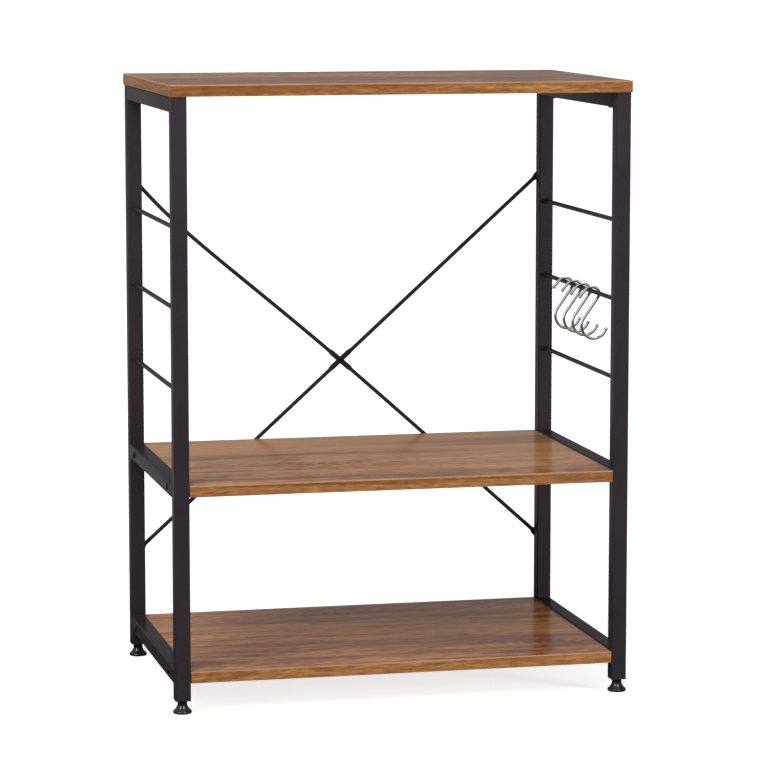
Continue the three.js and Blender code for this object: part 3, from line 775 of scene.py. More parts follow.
def cut(bm, cutter):
    """Takes one closed shape out of another."""
    things = []
    for name, shape in (("body", bm), ("tool", cutter)):
        mesh = bpy.data.meshes.new(name)
        shape.to_mesh(mesh)
        shape.free()
        thing = bpy.data.objects.new(name, mesh)
        bpy.context.scene.collection.objects.link(thing)
        things.append(thing)
    body, tool = things
    modifier = body.modifiers.new("cut", "BOOLEAN")
    modifier.operation = "DIFFERENCE"
    modifier.solver = "EXACT"
    modifier.object = tool
    bpy.context.view_layer.update()
    left = bmesh.new()
    left.from_object(body, bpy.context.evaluated_depsgraph_get())
    for thing in things:
        mesh = thing.data
        bpy.data.objects.remove(thing)
        bpy.data.meshes.remove(mesh)
    if not left.faces:
        raise RuntimeError("a cut left nothing behind")
    return tidy(left, recalculate=False)


def piece(name, bm, slots, nodes, sharp=SHARP_ANGLE):
    """Makes the finished piece: it rides with its nodes' body and stands for them."""
    for face in bm.faces:
        face.smooth = True
    for edge in bm.edges:
        edge.smooth = len(edge.link_faces) == 2 and edge.calc_face_angle() < sharp
    mesh = bpy.data.meshes.new(name)
    bm.to_mesh(mesh)
    bm.free()
    made = bpy.data.objects.new(name, mesh)
    bpy.context.scene.collection.objects.link(made)
    for slot in slots:
        mesh.materials.append(finish_named(slot))
    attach(made, frame["nodes"][nodes[0]]["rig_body"])
    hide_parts(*nodes)
    return made


def middle_of(node):
    low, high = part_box(node)
    return (low + high) / 2


def size_of(node):
    low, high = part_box(node)
    return high - low


# Screws and the holes for them

HOLE_SIDES = 24
THREAD_DEPTH = 0.54  # of its pitch


def screws_of(level):
    return [f"{level}_board_screw_{side}_{end}" for side, end in CORNERS]


def screw_axis(node):
    """The way that a screw's head faces."""
    if node.startswith("brace_cross"):
        return -AXES["y"]
    if node.startswith("brace_screw"):
        return AXES["y"]
    if node.startswith("top_board"):
        return -UP
    return -AXES["x"] if "_left_" in node else AXES["x"]


def screw_stand(node):
    """Where a screw's tip is, the way that it points back to its head, and its whole length."""
    axis = screw_axis(node)
    length = abs(size_of(node).dot(axis))
    return middle_of(node) - axis * length / 2, axis, length


def hole_for(node, radius):
    """The drill for a screw: from past its tip up to past the face that its head clamps."""
    tip, axis, length = screw_stand(node)
    drill = round_bar(radius, -CUT_OVERRUN, length - CUT_OVERRUN / 2, HOLE_SIDES)
    return move(drill, turned_to(axis, tip))


def drilled(bm, nodes):
    screw = bpy.context.scene.rack_screw
    for node in nodes:
        shank = screw.bolt_shank if node.startswith("brace_cross") else screw.shank
        bm = cut(bm, hole_for(node, shank / 2 + screw.clearance))
    return bm


def thread(radius, pitch, length, sides, point):
    """A threaded rod from zero up: a zigzag wound one turn up by its pitch, cut square at both ends."""
    bm = bmesh.new()
    root = radius - THREAD_DEPTH * pitch
    teeth = int(length / pitch) + 3
    zigzag = [(radius if i % 2 else root, 0, (i / 2 - 1) * pitch) for i in range(2 * teeth + 1)]
    spin(bm, chain(bm, zigzag), sides, rise=pitch / sides, merge=False)
    bmesh.ops.remove_doubles(bm, verts=bm.verts, dist=MERGE_DISTANCE * 5)
    for height, way in ((0, -1), (length, 1)):
        everything = bm.verts[:] + bm.edges[:] + bm.faces[:]
        bmesh.ops.bisect_plane(bm, geom=everything, plane_co=(0, 0, height), plane_no=(0, 0, way),
                               clear_outer=True)
    for vert in bm.verts:
        room = radius - point + min(vert.co.z, length - vert.co.z)
        reach = vert.co.xy.length
        if reach > room:
            vert.co.x *= room / reach
            vert.co.y *= room / reach
    bmesh.ops.holes_fill(bm, edges=bm.edges, sides=0)
    bmesh.ops.triangulate(bm, faces=[f for f in bm.faces if len(f.verts) > 4])
    return tidy(bm)


def screw_head(radius, height, socket, sides):
    """A low domed head on its underside at zero, with a six-sided socket."""
    upright, flat, socket_depth = 0.30, 0.50, 0.64
    dome_steps = 7
    profile = [(0, 0), (radius * 0.97, 0), (radius, height * 0.05), (radius, height * upright)]
    for i in range(1, dome_steps + 1):
        turn = math.pi / 2 * i / dome_steps
        across = radius * (flat + (1 - flat) * math.cos(turn))
        profile.append((across, height * (upright + (1 - upright) * math.sin(turn))))
    head = spun(profile + [(0, height)], sides)
    return cut(head, hexagon(socket, height * (1 - socket_depth), height * 2))


def socket_screw(node):
    """A screw threaded up to its domed head; the bolt at the crossing is a smaller one."""
    s = bpy.context.scene.rack_screw
    sizes = s.shank, s.head_height, s.socket, s.pitch
    if node.startswith("brace_cross"):
        sizes = s.bolt_shank, s.bolt_head_height, s.bolt_socket, s.bolt_pitch
    shank, head_height, socket, pitch = sizes
    tip, axis, length = screw_stand(node)
    head_radius = max(size_of(node).cross(axis)) / 2
    shank_length = length - head_height
    rod = thread(shank / 2, pitch, shank_length + head_height / 4, s.thread_sides, pitch / 2)
    head = move_by(screw_head(head_radius, head_height, socket, s.head_sides), (0, 0, shank_length))
    made = move(join(rod, head), turned_to(axis, tip))
    piece(node + "_threaded", made, ["black_screw"], [node])


# Side frames

def hollow(bm, wall):
    """Opens a shape that stands along Z from end to end, and leaves a wall round it."""
    ends = [f for f in bm.faces if abs(f.normal.z) > 0.9]
    bmesh.ops.inset_region(bm, faces=ends, thickness=wall, depth=0, use_boundary=True,
                           use_even_offset=True)
    inner = [f for f in ends if f.is_valid]
    loops = {e for f in inner for e in f.edges}
    bmesh.ops.delete(bm, geom=inner, context="FACES_ONLY")
    bmesh.ops.bridge_loops(bm, edges=list(loops))
    return tidy(bm)


def square_tube(length, size):
    tube = bpy.context.scene.rack_tube
    bm = block((size, size, length))
    bevel(bm, edges_along(bm, UP), tube.corner, tube.corner_steps)
    hollow(bm, tube.wall)
    rims = [e for e in end_edges(bm, length / 2) if any(stands_upright(f) for f in e.link_faces)]
    bevel(bm, rims, tube.rim_round, 2)
    return bm


def tube_for(node):
    """The square tube of a post or rail, in its place."""
    size = size_of(node)
    axis = UP if size.z > size.y else AXES["y"]
    return move(square_tube(max(size), size.x), turned_to(axis, middle_of(node)))


def weld_bead(start, end):
    """A bead of weld along a joint, rippled, with rounded ends."""
    tube = bpy.context.scene.rack_tube
    sides, steps_in_ripple, drift_cells, drift_step = 12, 4, 90, 0.21
    run = end - start
    ripples = int(run.length / tube.weld_pitch)
    steps = ripples * steps_in_ripple
    half = run.length / 2
    profile = []
    for i in range(steps + 1):
        along = run.length * i / steps
        near_end = min(along, run.length - along) / tube.weld
        closing = math.sqrt(max(0.0, 1 - (1 - min(1.0, near_end)) ** 2))
        swell = tube.weld_ripple * abs(math.sin(math.pi * ripples * i / steps))
        drift = tube.weld_ripple * noise.noise(start * drift_cells + Vector((0, 0, i * drift_step)))
        profile.append(((tube.weld - tube.weld_ripple + swell + drift) * closing, along - half))
    return move(spun(profile, sides), turned_to(run.normalized(), (start + end) / 2))


def weld_ring(place, axis, radius):
    """A ring of weld round a rung's end, a little thinner than a bead."""
    tube = bpy.context.scene.rack_tube
    sides, thinness, unevenness, place_cells, ring_cells = 10, 0.8, 0.05, 60, 2200
    bm = bmesh.new()
    stand = Matrix.Translation((radius, 0, 0)) @ Matrix.Rotation(math.pi / 2, 4, "X")
    ring = bmesh.ops.create_circle(
        bm, cap_ends=False, segments=sides, radius=tube.weld * thinness, matrix=stand)
    edges = list({e for v in ring["verts"] for e in v.link_edges})
    spin(bm, ring["verts"] + edges, tube.rung_sides)
    for vert in bm.verts:
        swell = 1 + unevenness * noise.noise(place * place_cells + vert.co * ring_cells)
        vert.co.x *= swell
        vert.co.y *= swell
    return move(tidy(bm), turned_to(axis, place))


def rail(side, level):
    node = f"{side}_{level}_rail"
    low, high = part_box(node)
    bm = drilled(tube_for(node), [f"{level}_board_screw_{side}_{end}" for end in ENDS])
    corner = bpy.context.scene.rack_tube.corner
    heights = [low.z] if level == "top" else [low.z, high.z]
    beads = []
    for y in (low.y, high.y):
        for z in heights:
            beads.append(weld_bead(Vector((low.x + corner, y, z)), Vector((high.x - corner, y, z))))
    piece(node + "_welded", join(bm, *beads), ["coated_steel"], [node])


def rung(node):
    low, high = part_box(node)
    middle = (low + high) / 2
    radius = (high.z - low.z) / 2
    half = (high.y - low.y) / 2
    bar = round_bar(radius, -half, half, bpy.context.scene.rack_tube.rung_sides)
    move(bar, turned_to(AXES["y"], middle))
    rings = [weld_ring(Vector((middle.x, y, middle.z)), AXES["y"], radius) for y in (low.y, high.y)]
    piece(node + "_welded", join(bar, *rings), ["coated_steel"], [node])


def side_frame(side):
    for end in ENDS:
        node = f"{side}_{end}_post"
        bm = tube_for(node)
        if end == "rear":
            bm = drilled(bm, [f"brace_screw_{level}_{side}" for level in ("upper", "lower")])
        made = piece(node + "_tube", bm, ["coated_steel"], [node])
        if (side, end) == ("right", "rear"):
            lit_only("rear post").objects.link(made)
    for level in LEVELS:
        rail(side, level)
    for node in frame["nodes"]:
        if node.startswith(f"{side}_rung"):
            rung(node)


# Boards

def band(level):
    """The band round a board: rounded upright corners and trimmed edges, open in the middle."""
    settings = bpy.context.scene.rack_board
    node = f"{level}_board_edge_band"
    size = size_of(node)
    bm = block(size)
    bevel(bm, edges_along(bm, UP), settings.corner_round, 4)
    hollow(bm, (size.x - size_of(f"{level}_board").x) / 2)
    half = size.z / 2
    outer = [e for e in end_edges(bm, half)
             if any(stands_upright(f) and f.normal.dot(f.calc_center_median()) > 0
                    for f in e.link_faces)]
    bevel(bm, outer, settings.edge_round, 3)
    # The pale strip lies only under the upper edge: a trimmed edge with a painted highlight.
    strip = half - settings.trim_highlight_height
    bmesh.ops.bisect_plane(bm, geom=bm.verts[:] + bm.edges[:] + bm.faces[:], plane_co=(0, 0, strip),
                           plane_no=UP)
    move_by(bm, middle_of(node))
    strip += middle_of(node).z
    bm = drilled(bm, screws_of(level))
    # Faces above the strip's line take the trim colour with its painted highlight.
    trim_and_highlight = 1
    unwrapped = bm.loops.layers.uv.new("band")
    for face in bm.faces:
        face.material_index = trim_and_highlight if face.calc_center_median().z > strip else 0
        on_end = abs(face.normal.x) > abs(face.normal.y)
        for loop in face.loops:
            place = loop.vert.co
            loop[unwrapped].uv = (place.y + size.x if on_end else place.x, place.z)
    piece(node + "_trimmed", bm, ["edge_band", "band_trim_and_highlight"], [node])


def board(level):
    """A board's core with a fine groove where its face meets the band."""
    node = f"{level}_board"
    bm = block(size_of(node))
    bevel(bm, level_edges(bm), bpy.context.scene.rack_board.glue_line, 1)
    move_by(bm, middle_of(node))
    piece(node + "_faced", drilled(bm, screws_of(level)), ["wood_board"], [node])


# Brace

def smooth_path(points, steps):
    """Points along a smooth line through the given ones."""
    path = []
    last = len(points) - 1
    for i in range(last):
        before, start, end, after = (points[min(max(i + k, 0), last)] for k in (-1, 0, 1, 2))
        handles = start + (end - before) / 6, end - (after - start) / 6
        path += interpolate_bezier(start, *handles, end, steps + 1)[:-1]
    return path + [points[-1]]


def along_path(path, distance):
    """The point at a distance along a path, and the way that the path runs there."""
    for start, end in zip(path, path[1:]):
        run = end - start
        if distance <= run.length or end == path[-1]:
            return start + run.normalized() * distance, run.normalized()
        distance -= run.length


def unit_tube(rings, sides):
    """A tube of radius one whose rings stand at whole heights, closed at both ends."""
    bm = bmesh.new()
    made = bmesh.ops.create_circle(bm, cap_ends=False, segments=sides, radius=1.0)
    edges = list({e for v in made["verts"] for e in v.link_edges})
    for _ in range(rings - 1):
        grown = bmesh.ops.extrude_edge_only(bm, edges=edges)["geom"]
        verts = [v for v in grown if isinstance(v, bmesh.types.BMVert)]
        edges = [e for e in grown if isinstance(e, bmesh.types.BMEdge)
                 and all(v in verts for v in e.verts)]
        bmesh.ops.translate(bm, vec=UP, verts=verts)
    bmesh.ops.holes_fill(bm, edges=bm.edges, sides=0)
    return bm


TIP_STEPS, TAPER_STEPS, ARM_STEPS = 5, 6, 24
TIP_LENGTH = 0.36  # of the end's width
TIP_WIDTH = 0.45  # of the end's width, at the very tip
SQUARENESS = 0.41  # how far a pressed flat's sides are pushed out of the round


def taper_rings(start, length, first, second):
    """Rings over which a rod turns smoothly from one section into another."""
    rings = []
    for i in range(TAPER_STEPS + 1):
        share = i / TAPER_STEPS
        ease = share * share * (3 - 2 * share)
        rings.append((start + length * share, *(a + (b - a) * ease for a, b in zip(first, second))))
    return rings


def rod_stations(length, rod_y, end_y, cross_y):
    """Rings of a brace rod: distance along it, width, thickness, depth and how flat it is."""
    s = bpy.context.scene.rack_brace
    end = (s.end_width, s.flat_thickness, end_y, 1.0)
    arm = (s.diameter, s.diameter, rod_y, 0.0)
    cross = (s.cross_width, s.flat_thickness, cross_y, 1.0)
    flat_end = s.end_overrun + s.end_length
    arm_start = flat_end + s.taper
    arm_end = length / 2 - s.cross_length - s.taper
    rings = []
    for i in range(TIP_STEPS + 1):
        turn = math.pi / 2 * i / TIP_STEPS
        width = s.end_width * (TIP_WIDTH + (1 - TIP_WIDTH) * math.sin(turn))
        rings.append((s.end_width * TIP_LENGTH * (1 - math.cos(turn)), width, *end[1:]))
    rings += taper_rings(flat_end, s.taper, end, arm)
    rings += [(arm_start + (arm_end - arm_start) * i / ARM_STEPS, *arm) for i in range(1, ARM_STEPS)]
    rings += taper_rings(arm_end, s.taper, arm, cross)
    return rings + [(length - ring[0], *ring[1:]) for ring in reversed(rings)]


def brace_rod(node, upper, lower, bow, end_y, cross_y):
    """A rod from its upper screw to its lower one, pressed flat where it is held."""
    s = bpy.context.scene.rack_brace
    rod_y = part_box(node)[1].y - s.diameter / 2
    run = (lower - upper).normalized()
    cross = (upper + lower) / 2
    start, end = upper - run * s.end_overrun, lower + run * s.end_overrun
    path = [start, end]
    if bow:
        sideways = Vector((run.z, 0, -run.x))
        path = smooth_path([start, upper.lerp(cross, s.bow_place) + sideways * bow, cross, end], 40)
    length = sum((b - a).length for a, b in zip(path, path[1:]))
    rings = rod_stations(length, rod_y, end_y, cross_y)
    bm = unit_tube(len(rings), s.sides)
    for vert in bm.verts:
        distance, width, thickness, depth, flatness = rings[round(vert.co.z)]
        place, way = along_path(path, distance)
        across = Vector((-way.z, 0, way.x)) * vert.co.x * width / 2
        deep = max(-1.0, min(1.0, vert.co.y * (1 + SQUARENESS * flatness))) * thickness / 2
        vert.co = Vector((place.x, depth + deep, place.z)) + across
    return tidy(bm)


def brace():
    s = bpy.context.scene.rack_brace
    nut_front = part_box("brace_cross_nut")[0].y
    bolt_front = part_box("brace_cross_bolt")[0].y + bpy.context.scene.rack_screw.bolt_head_height
    gap = nut_front - bolt_front
    for node, side, other, bow, way in (("brace_rod_front", "left", "right", s.bow, -1),
                                        ("brace_rod_rear", "right", "left", 0.0, 1)):
        screws = [f"brace_screw_upper_{side}", f"brace_screw_lower_{other}"]
        upper, lower = (Vector((middle_of(n).x, 0, middle_of(n).z)) for n in screws)
        end_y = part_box(node)[0].y + s.flat_thickness / 2
        bm = brace_rod(node, upper, lower, bow, end_y, nut_front - gap / 2 + way * gap / 4)
        bm = drilled(bm, screws + ["brace_cross_bolt"])
        piece(node + "_pressed", bm, ["coated_steel"], [node])
    for level in ("upper", "lower"):
        for side in SIDES:
            socket_screw(f"brace_screw_{level}_{side}")
    socket_screw("brace_cross_bolt")
    piece("brace_cross_nut_chamfered", cross_nut(), ["black_screw"], ["brace_cross_nut"])


def cross_nut():
    """A hexagon nut with chamfered corners and a hole for the bolt."""
    size = size_of("brace_cross_nut")
    chamfer = size.y * 0.09
    bm = hexagon(size.x, -size.y / 2, size.y / 2)
    bevel(bm, level_edges(bm), chamfer, 2)
    turn = Matrix.Rotation(math.pi / 2, 4, "Z")
    move(bm, turned_to(-AXES["y"], middle_of("brace_cross_nut")) @ turn)
    return drilled(bm, ["brace_cross_bolt"])


# Levelling feet

# Outline of a foot from its rim up: how far out of its neck, and how far up, as shares
FOOT_FLARE = (
    (0.62, 0.0), (0.84, 0.012), (0.96, 0.06), (1.0, 0.13), (0.955, 0.20), (0.80, 0.26),
    (0.55, 0.34), (0.32, 0.44), (0.13, 0.56), (0.03, 0.66), (0.0, 0.76),
)
PLUG_HOLE_SIDES = 40


def foot_base(node, stud):
    """The bell-shaped foot, hollowed a little beneath and bored for its stud."""
    s = bpy.context.scene.rack_foot
    clearance = bpy.context.scene.rack_screw.clearance
    size = size_of(node)
    neck, rim, top = s.neck / 2, size.x / 2, size.z
    outline = [Vector((neck + (rim - neck) * out, 0, top * up)) for out, up in FOOT_FLARE]
    outer = [(p.x, p.z) for p in smooth_path(outline, 4)]
    ring = neck * 1.05
    base = [(0, s.recess), (ring, s.recess), (ring + s.recess, 0)]
    lip = size.z * 0.02
    bore = size_of(stud).x / 2 + clearance
    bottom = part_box(stud)[0].z - clearance
    collar = [(neck, top - lip), (neck - lip, top), (bore + lip, top), (bore, top - lip)]
    bm = spun(base + outer + collar + [(bore, bottom), (0, bottom)], s.sides)
    middle = middle_of(node)
    return move_by(bm, (middle.x, middle.y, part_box(node)[0].z))


def foot_plug(node, stud):
    """The plug in a post's end, chamfered, with the hole that the stud turns in."""
    tube = bpy.context.scene.rack_tube
    clearance = bpy.context.scene.rack_screw.clearance
    size = size_of(node)
    bm = block(size)
    bevel(bm, edges_along(bm, UP), tube.corner - tube.wall, 3)
    bevel(bm, level_edges(bm), bpy.context.scene.rack_foot.plug_rim / 2, 2)
    radius = size_of(stud).x / 2 + clearance
    half = size.z / 2
    bm = cut(bm, round_bar(radius, -half - CUT_OVERRUN, half + CUT_OVERRUN, PLUG_HOLE_SIDES))
    rims = [e for e in end_edges(bm, half)
            if all(abs(v.co.xy.length - radius) < MERGE_DISTANCE * 10 for v in e.verts)]
    bevel(bm, rims, clearance, 1)
    return move_by(bm, middle_of(node))


def levelling_foot(side, end):
    screw = bpy.context.scene.rack_screw
    corner = f"{side}_{end}"
    foot, stud, plug = f"levelling_foot_{corner}", f"foot_stud_{corner}", f"foot_plug_{corner}"
    made = piece(foot + "_moulded", foot_base(foot, stud), ["foot_plastic"], [foot])
    lit_only("feet").objects.link(made)
    size, middle = size_of(stud), middle_of(stud)
    rod = thread(size.x / 2, screw.stud_pitch, size.z, screw.thread_sides + 8, screw.stud_pitch * 0.7)
    move_by(rod, (middle.x, middle.y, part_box(stud)[0].z))
    piece(stud + "_threaded", rod, ["bare_steel"], [stud])
    piece(plug + "_chamfered", foot_plug(plug, stud), ["plug_plastic"], [plug])


# Hooks

class Wire:
    """A round wire bent in the XZ plane: each stretch grows from the end of the last."""

    def __init__(self, start, heading, radius, sides):
        self.bm = bmesh.new()
        self.radius = radius
        self.place = start
        self.heading = heading
        stand = turned_to(self.way(), start)
        made = bmesh.ops.create_circle(
            self.bm, cap_ends=False, segments=sides, radius=radius, matrix=stand)
        self.edges = list({e for v in made["verts"] for e in v.link_edges})
        self.first = list(self.edges)

    def way(self):
        return Vector((math.cos(self.heading), 0, math.sin(self.heading)))

    def grow(self):
        grown = bmesh.ops.extrude_edge_only(self.bm, edges=self.edges)["geom"]
        verts = {v for v in grown if isinstance(v, bmesh.types.BMVert)}
        self.edges = [e for e in grown if isinstance(e, bmesh.types.BMEdge) and set(e.verts) <= verts]
        return list(verts)

    def straight(self, length, steps):
        for _ in range(steps):
            step = self.way() * length / steps
            bmesh.ops.translate(self.bm, vec=step, verts=self.grow())
            self.place = self.place + step

    def bend(self, radius, turn, step):
        """Turns the wire by an angle, to the left of its way where the angle is positive."""
        steps = max(2, round(abs(turn) / step))
        side = math.copysign(1, turn)
        to_centre = Vector((-math.sin(self.heading), 0, math.cos(self.heading))) * side
        centre = self.place + to_centre * radius
        part = Matrix.Rotation(-turn / steps, 3, "Y")
        for _ in range(steps):
            bmesh.ops.rotate(self.bm, cent=centre, matrix=part, verts=self.grow())
        self.place = centre + Matrix.Rotation(-turn, 3, "Y") @ (self.place - centre)
        self.heading += turn

    def bead(self, diameter, steps=9):
        """Closes the wire's end with a round bead."""
        radius = diameter / 2
        start = math.asin(self.radius / radius)
        across, along = self.radius, -radius * math.cos(start)
        for i in range(1, steps + 1):
            turn = start + (math.pi - start) * i / steps
            wanted = max(radius * math.sin(turn), MERGE_DISTANCE)
            verts = self.grow()
            scale = Matrix.Scale(wanted / across, 4)
            centred = Matrix.Translation(self.place)
            bmesh.ops.transform(self.bm, matrix=centred @ scale @ centred.inverted(), verts=verts)
            next_along = -radius * math.cos(turn)
            step = self.way() * (next_along - along)
            bmesh.ops.translate(self.bm, vec=step, verts=verts)
            self.place = self.place + step
            across, along = wanted, next_along
        bmesh.ops.contextual_create(self.bm, geom=self.edges)


def s_hook(node):
    """An S hook: bead, tip, crest over the rung, neck, leaning shank, bowl and bead."""
    s = bpy.context.scene.rack_hook
    rung_node = "right_rung_2"
    middle = middle_of(rung_node)
    below_wire = size_of(rung_node).z / 2 + s.rest_gap + s.wire / 2
    crest = Vector((middle.x, middle_of(node).y, middle.z + below_wire - s.crest))
    place = crest + Vector((math.cos(s.crest_start), 0, math.sin(s.crest_start))) * s.crest
    inside = math.sqrt(s.bead ** 2 - s.wire ** 2) / 2  # from a bead's middle back to the wire's end
    wire = Wire(place, s.crest_start - math.pi / 2, s.wire / 2, s.sides)
    wire.bend(s.crest, s.crest_end - s.crest_start, s.bend_step)
    wire.bend(s.neck, -s.lean - s.crest_end, s.bend_step)
    wire.straight(s.shank, 6)
    wire.bend(s.bowl, math.pi + s.lean + s.bowl_end - inside / s.bowl, s.bend_step)
    wire.bead(s.bead)
    wire.edges, wire.place, wire.heading = wire.first, place, s.crest_start + math.pi / 2
    wire.straight(s.tip - inside, 3)
    wire.bead(s.bead)
    piece(node + "_bent", tidy(wire.bm), ["chrome"], [node])


# Stage

LAMP_TARGET = Vector((0, 0, 0.40))

# Where each lamp stands, and how wide and high it is
LAMPS = {
    "left softbox": ((-1.85, -1.85, 2.7), (2.0, 2.0)),
    "right softbox": ((2.7, -2.5, 0.65), (0.9, 1.2)),
    "rear post lamp": ((2.7, -2.5, 0.65), (0.9, 1.2)),
    "left foot lamp": ((-2.05, -1.65, 2.05), (0.9, 1.5)),
    "right foot lamp": ((0.75, -2.30, 2.05), (0.9, 1.5)),
}
SENSOR_WIDTH = 36.0  # millimetres, as Blender counts it
PICTURE_PIXELS = 768
FLOOR_REACH = 60.0  # from its middle to each side


def lit_only(name):
    """The collection of pieces that a lamp of their own lights, made when it is first asked for."""
    return bpy.data.collections.get(name) or bpy.data.collections.new(name)


def softbox(name, power, only=None, mirrored=False):
    """An area lamp aimed at the rack, for all pieces or for only some; most are not seen mirrored."""
    place, size = LAMPS[name]
    lamp = bpy.data.lights.new(name, "AREA")
    lamp.shape = "RECTANGLE"
    lamp.size, lamp.size_y = size
    lamp.energy = power
    made = bpy.data.objects.new(name, lamp)
    bpy.context.scene.collection.objects.link(made)
    made.location = place
    made.visible_glossy = mirrored
    if only:
        made.light_linking.receiver_collection = lit_only(only)
    made.rotation_mode = "QUATERNION"
    made.rotation_quaternion = (LAMP_TARGET - Vector(place)).to_track_quat("-Z", "Y")


def ray_masks(tree):
    """Which rays the camera sends itself, and which are mirrored or go through something clear."""
    rays = add_node(tree, "ShaderNodeLightPath").outputs
    shiny = calc(tree, "MAXIMUM", rays["Is Glossy Ray"], rays["Is Transmission Ray"])
    return rays["Is Camera Ray"], shiny


def studio_gloss(tree, s):
    """What reflections see: pale backdrop, dark front and sides, lit panel and half-lit ceiling."""
    panel_way, panel_edge, panel_middle, panel_gloss = Vector((-0.62, -0.30, 0.72)), 0.42, 0.70, 1.1
    way = add_node(tree, "ShaderNodeTexCoord").outputs["Generated"]
    across, back, high = vector_parts(tree, way)
    front = spread(tree, high, 0.08, 0.28, s.side_gloss, s.front_gloss)
    level = mix_values(tree, spread(tree, back, -0.3, 0.3), front, s.back_gloss)
    sides = spread(tree, calc(tree, "ABSOLUTE", across), 0.62, 0.86)
    level = mix_values(tree, sides, level, s.side_gloss)
    panel = vector_calc(tree, "DOT_PRODUCT", way, panel_way)
    lit = spread(tree, panel, panel_edge, panel_middle, 0.0, panel_gloss)
    level = calc(tree, "MAXIMUM", level, lit)
    ceiling = spread(tree, across, 0.2, 0.6, 1.0, s.side_gloss)
    return mix_values(tree, spread(tree, high, 0.40, 0.65), level, ceiling)


def studio_world(s):
    """Even light all round, white for the camera and uneven in reflections."""
    world = bpy.data.worlds.new("Rack studio")
    bpy.context.scene.world = world
    world.use_nodes = True
    tree = world.node_tree
    shader = tree.nodes["Background"]
    by_camera, shiny = ray_masks(tree)
    seen = mix_values(tree, shiny, s.world, studio_gloss(tree, s))
    tree.links.new(mix_values(tree, by_camera, seen, 1.0), shader.inputs["Strength"])
    shader.inputs["Color"].default_value = (1, 1, 1, 1)


def floor_material(s):
    """White where it is fully lit, darker in reflections, and white all over far from the rack."""
    material, tree, shader = new_material("Pale floor")
    shader.inputs["Roughness"].default_value = 0.9
    shader.inputs["Specular IOR Level"].default_value = 0.0
    by_camera, shiny = ray_masks(tree)
    place = object_place(tree)
    away = add_node(tree, "ShaderNodeVectorMath", {0: place}, operation="LENGTH").outputs["Value"]
    lift = spread(tree, away, s.backdrop_start, s.backdrop_start * 3, s.floor_lift, 1.0)
    far_glow = spread(tree, vector_parts(tree, place)[1], 0.25, 1.2, 0.02, 0.60)
    glow = plus(tree, times(tree, by_camera, lift), times(tree, shiny, far_glow))
    tree.links.new(glow, shader.inputs["Emission Strength"])
    shader.inputs["Emission Color"].default_value = (1, 1, 1, 1)
    pale = (s.floor, s.floor, s.floor)
    tree.links.new(mix_colour(tree, shiny, rgba(pale), rgba(pale, 0.09)), shader.inputs["Base Color"])
    return material


def pale_floor(s):
    """A wide floor that turns white where it is fully lit and keeps the rack's soft shadow."""
    bm = bmesh.new()
    bmesh.ops.create_grid(bm, x_segments=1, y_segments=1, size=FLOOR_REACH)
    mesh = bpy.data.meshes.new("floor")
    bm.to_mesh(mesh)
    bm.free()
    floor = bpy.data.objects.new("floor", mesh)
    bpy.context.scene.collection.objects.link(floor)
    mesh.materials.append(floor_material(s))


def photo_camera(s):
    """A camera where the photograph's stood, with the same turn, tilt and focal length."""
    camera = bpy.data.cameras.new("camera")
    camera.sensor_width = SENSOR_WIDTH
    camera.lens = camera.sensor_width * s.focal_pixels / PICTURE_PIXELS
    camera.clip_end = 200.0
    made = bpy.data.objects.new("camera", camera)
    bpy.context.scene.collection.objects.link(made)
    made.location = s.camera
    made.rotation_euler = (math.pi / 2 - s.pitch, 0, -s.yaw)
    bpy.context.scene.camera = made


def studio():
    s = bpy.context.scene.rack_stage
    bpy.context.scene.view_settings.view_transform = "Standard"
    photo_camera(s)
    softbox("left softbox", s.key)
    softbox("right softbox", s.fill)
    softbox("rear post lamp", s.rear_lamp, "rear post")
    softbox("left foot lamp", s.foot_lamp, "feet", mirrored=True)
    softbox("right foot lamp", s.foot_lamp, "feet", mirrored=True)
    studio_world(s)
    pale_floor(s)


# Operators and panel

class RACK_OT_stage(Operator):
    """Makes the floor, the lamps and the camera"""

    bl_idname = "bakers_rack.stage"
    bl_label = "Make stage"

    def execute(self, context):
        studio()
        return {"FINISHED"}


class RACK_OT_side_frames(Operator):
    """Makes the two welded side frames with their rungs"""

    bl_idname = "bakers_rack.side_frames"
    bl_label = "Make side frames"

    def execute(self, context):
        for side in SIDES:
            side_frame(side)
        return {"FINISHED"}


class RACK_OT_boards(Operator):
    """Makes the three boards and the bands round them"""

    bl_idname = "bakers_rack.boards"
    bl_label = "Make boards"

    def execute(self, context):
        for level in LEVELS:
            board(level)
            band(level)
        return {"FINISHED"}


class RACK_OT_board_screws(Operator):
    """Makes the screws that hold the boards"""

    bl_idname = "bakers_rack.board_screws"
    bl_label = "Make board screws"

    def execute(self, context):
        for level in LEVELS:
            for node in screws_of(level):
                socket_screw(node)
        return {"FINISHED"}


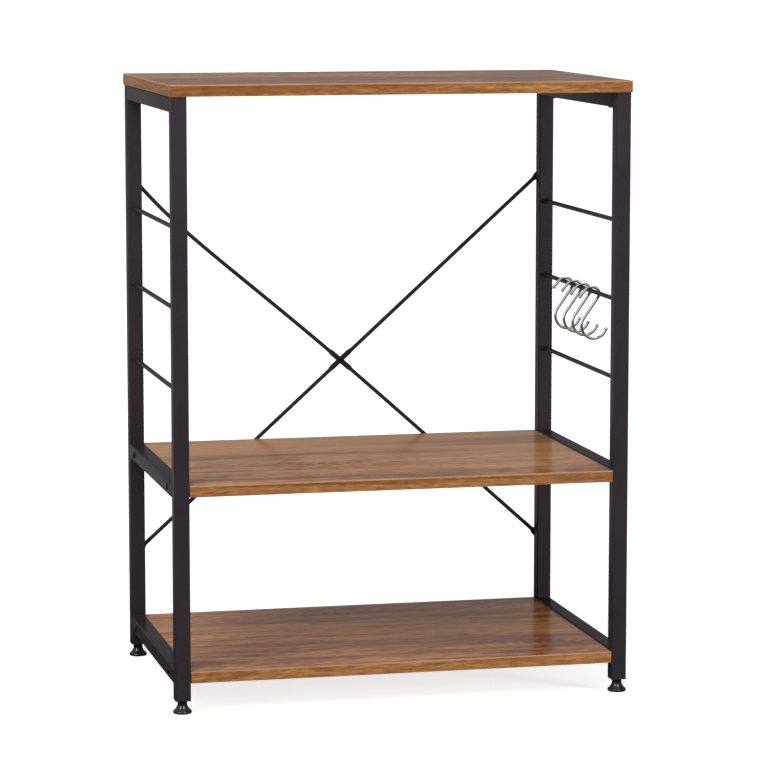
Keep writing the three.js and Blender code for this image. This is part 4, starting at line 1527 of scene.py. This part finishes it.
class RACK_OT_brace(Operator):
    """Makes the crossed rods behind, with their screws, bolt and nut"""

    bl_idname = "bakers_rack.brace"
    bl_label = "Make brace"

    def execute(self, context):
        brace()
        return {"FINISHED"}


class RACK_OT_feet(Operator):
    """Makes the levelling feet, their studs and their plugs"""

    bl_idname = "bakers_rack.feet"
    bl_label = "Make feet"

    def execute(self, context):
        for side, end in CORNERS:
            levelling_foot(side, end)
        return {"FINISHED"}


class RACK_OT_hooks(Operator):
    """Makes the S hooks on the right frame's middle rung"""

    bl_idname = "bakers_rack.hooks"
    bl_label = "Make hooks"

    def execute(self, context):
        for node in frame["nodes"]:
            if node.startswith("s_hook"):
                s_hook(node)
        return {"FINISHED"}


OPERATORS = (
    RACK_OT_stage,
    RACK_OT_side_frames,
    RACK_OT_boards,
    RACK_OT_board_screws,
    RACK_OT_brace,
    RACK_OT_feet,
    RACK_OT_hooks,
)


class RACK_PT_sidebar(Panel):
    """Lists the rack's parts and their settings"""

    bl_idname = "RACK_PT_sidebar"
    bl_label = "Bakers Rack"
    bl_space_type = "VIEW_3D"
    bl_region_type = "UI"
    bl_category = "Bakers Rack"

    def draw(self, context):
        for operator in OPERATORS:
            self.layout.operator(operator.bl_idname)
        for name, settings in SETTINGS.items():
            box = self.layout.box()
            box.label(text=settings.__doc__)
            for value in settings.__annotations__:
                box.prop(getattr(context.scene, name), value)


CLASSES = (*SETTINGS.values(), *OPERATORS, RACK_PT_sidebar)


def register():
    for made in CLASSES:
        bpy.utils.register_class(made)
    for name, settings in SETTINGS.items():
        setattr(bpy.types.Scene, name, PointerProperty(type=settings))


def unregister():
    for name in SETTINGS:
        delattr(bpy.types.Scene, name)
    for made in reversed(CLASSES):
        bpy.utils.unregister_class(made)


def main():
    register()
    bpy.ops.bakers_rack.stage()
    bpy.ops.bakers_rack.side_frames()
    bpy.ops.bakers_rack.boards()
    bpy.ops.bakers_rack.board_screws()
    bpy.ops.bakers_rack.brace()
    bpy.ops.bakers_rack.feet()
    bpy.ops.bakers_rack.hooks()
    bpy.context.view_layer.update()


if __name__ == "__main__":
    main()
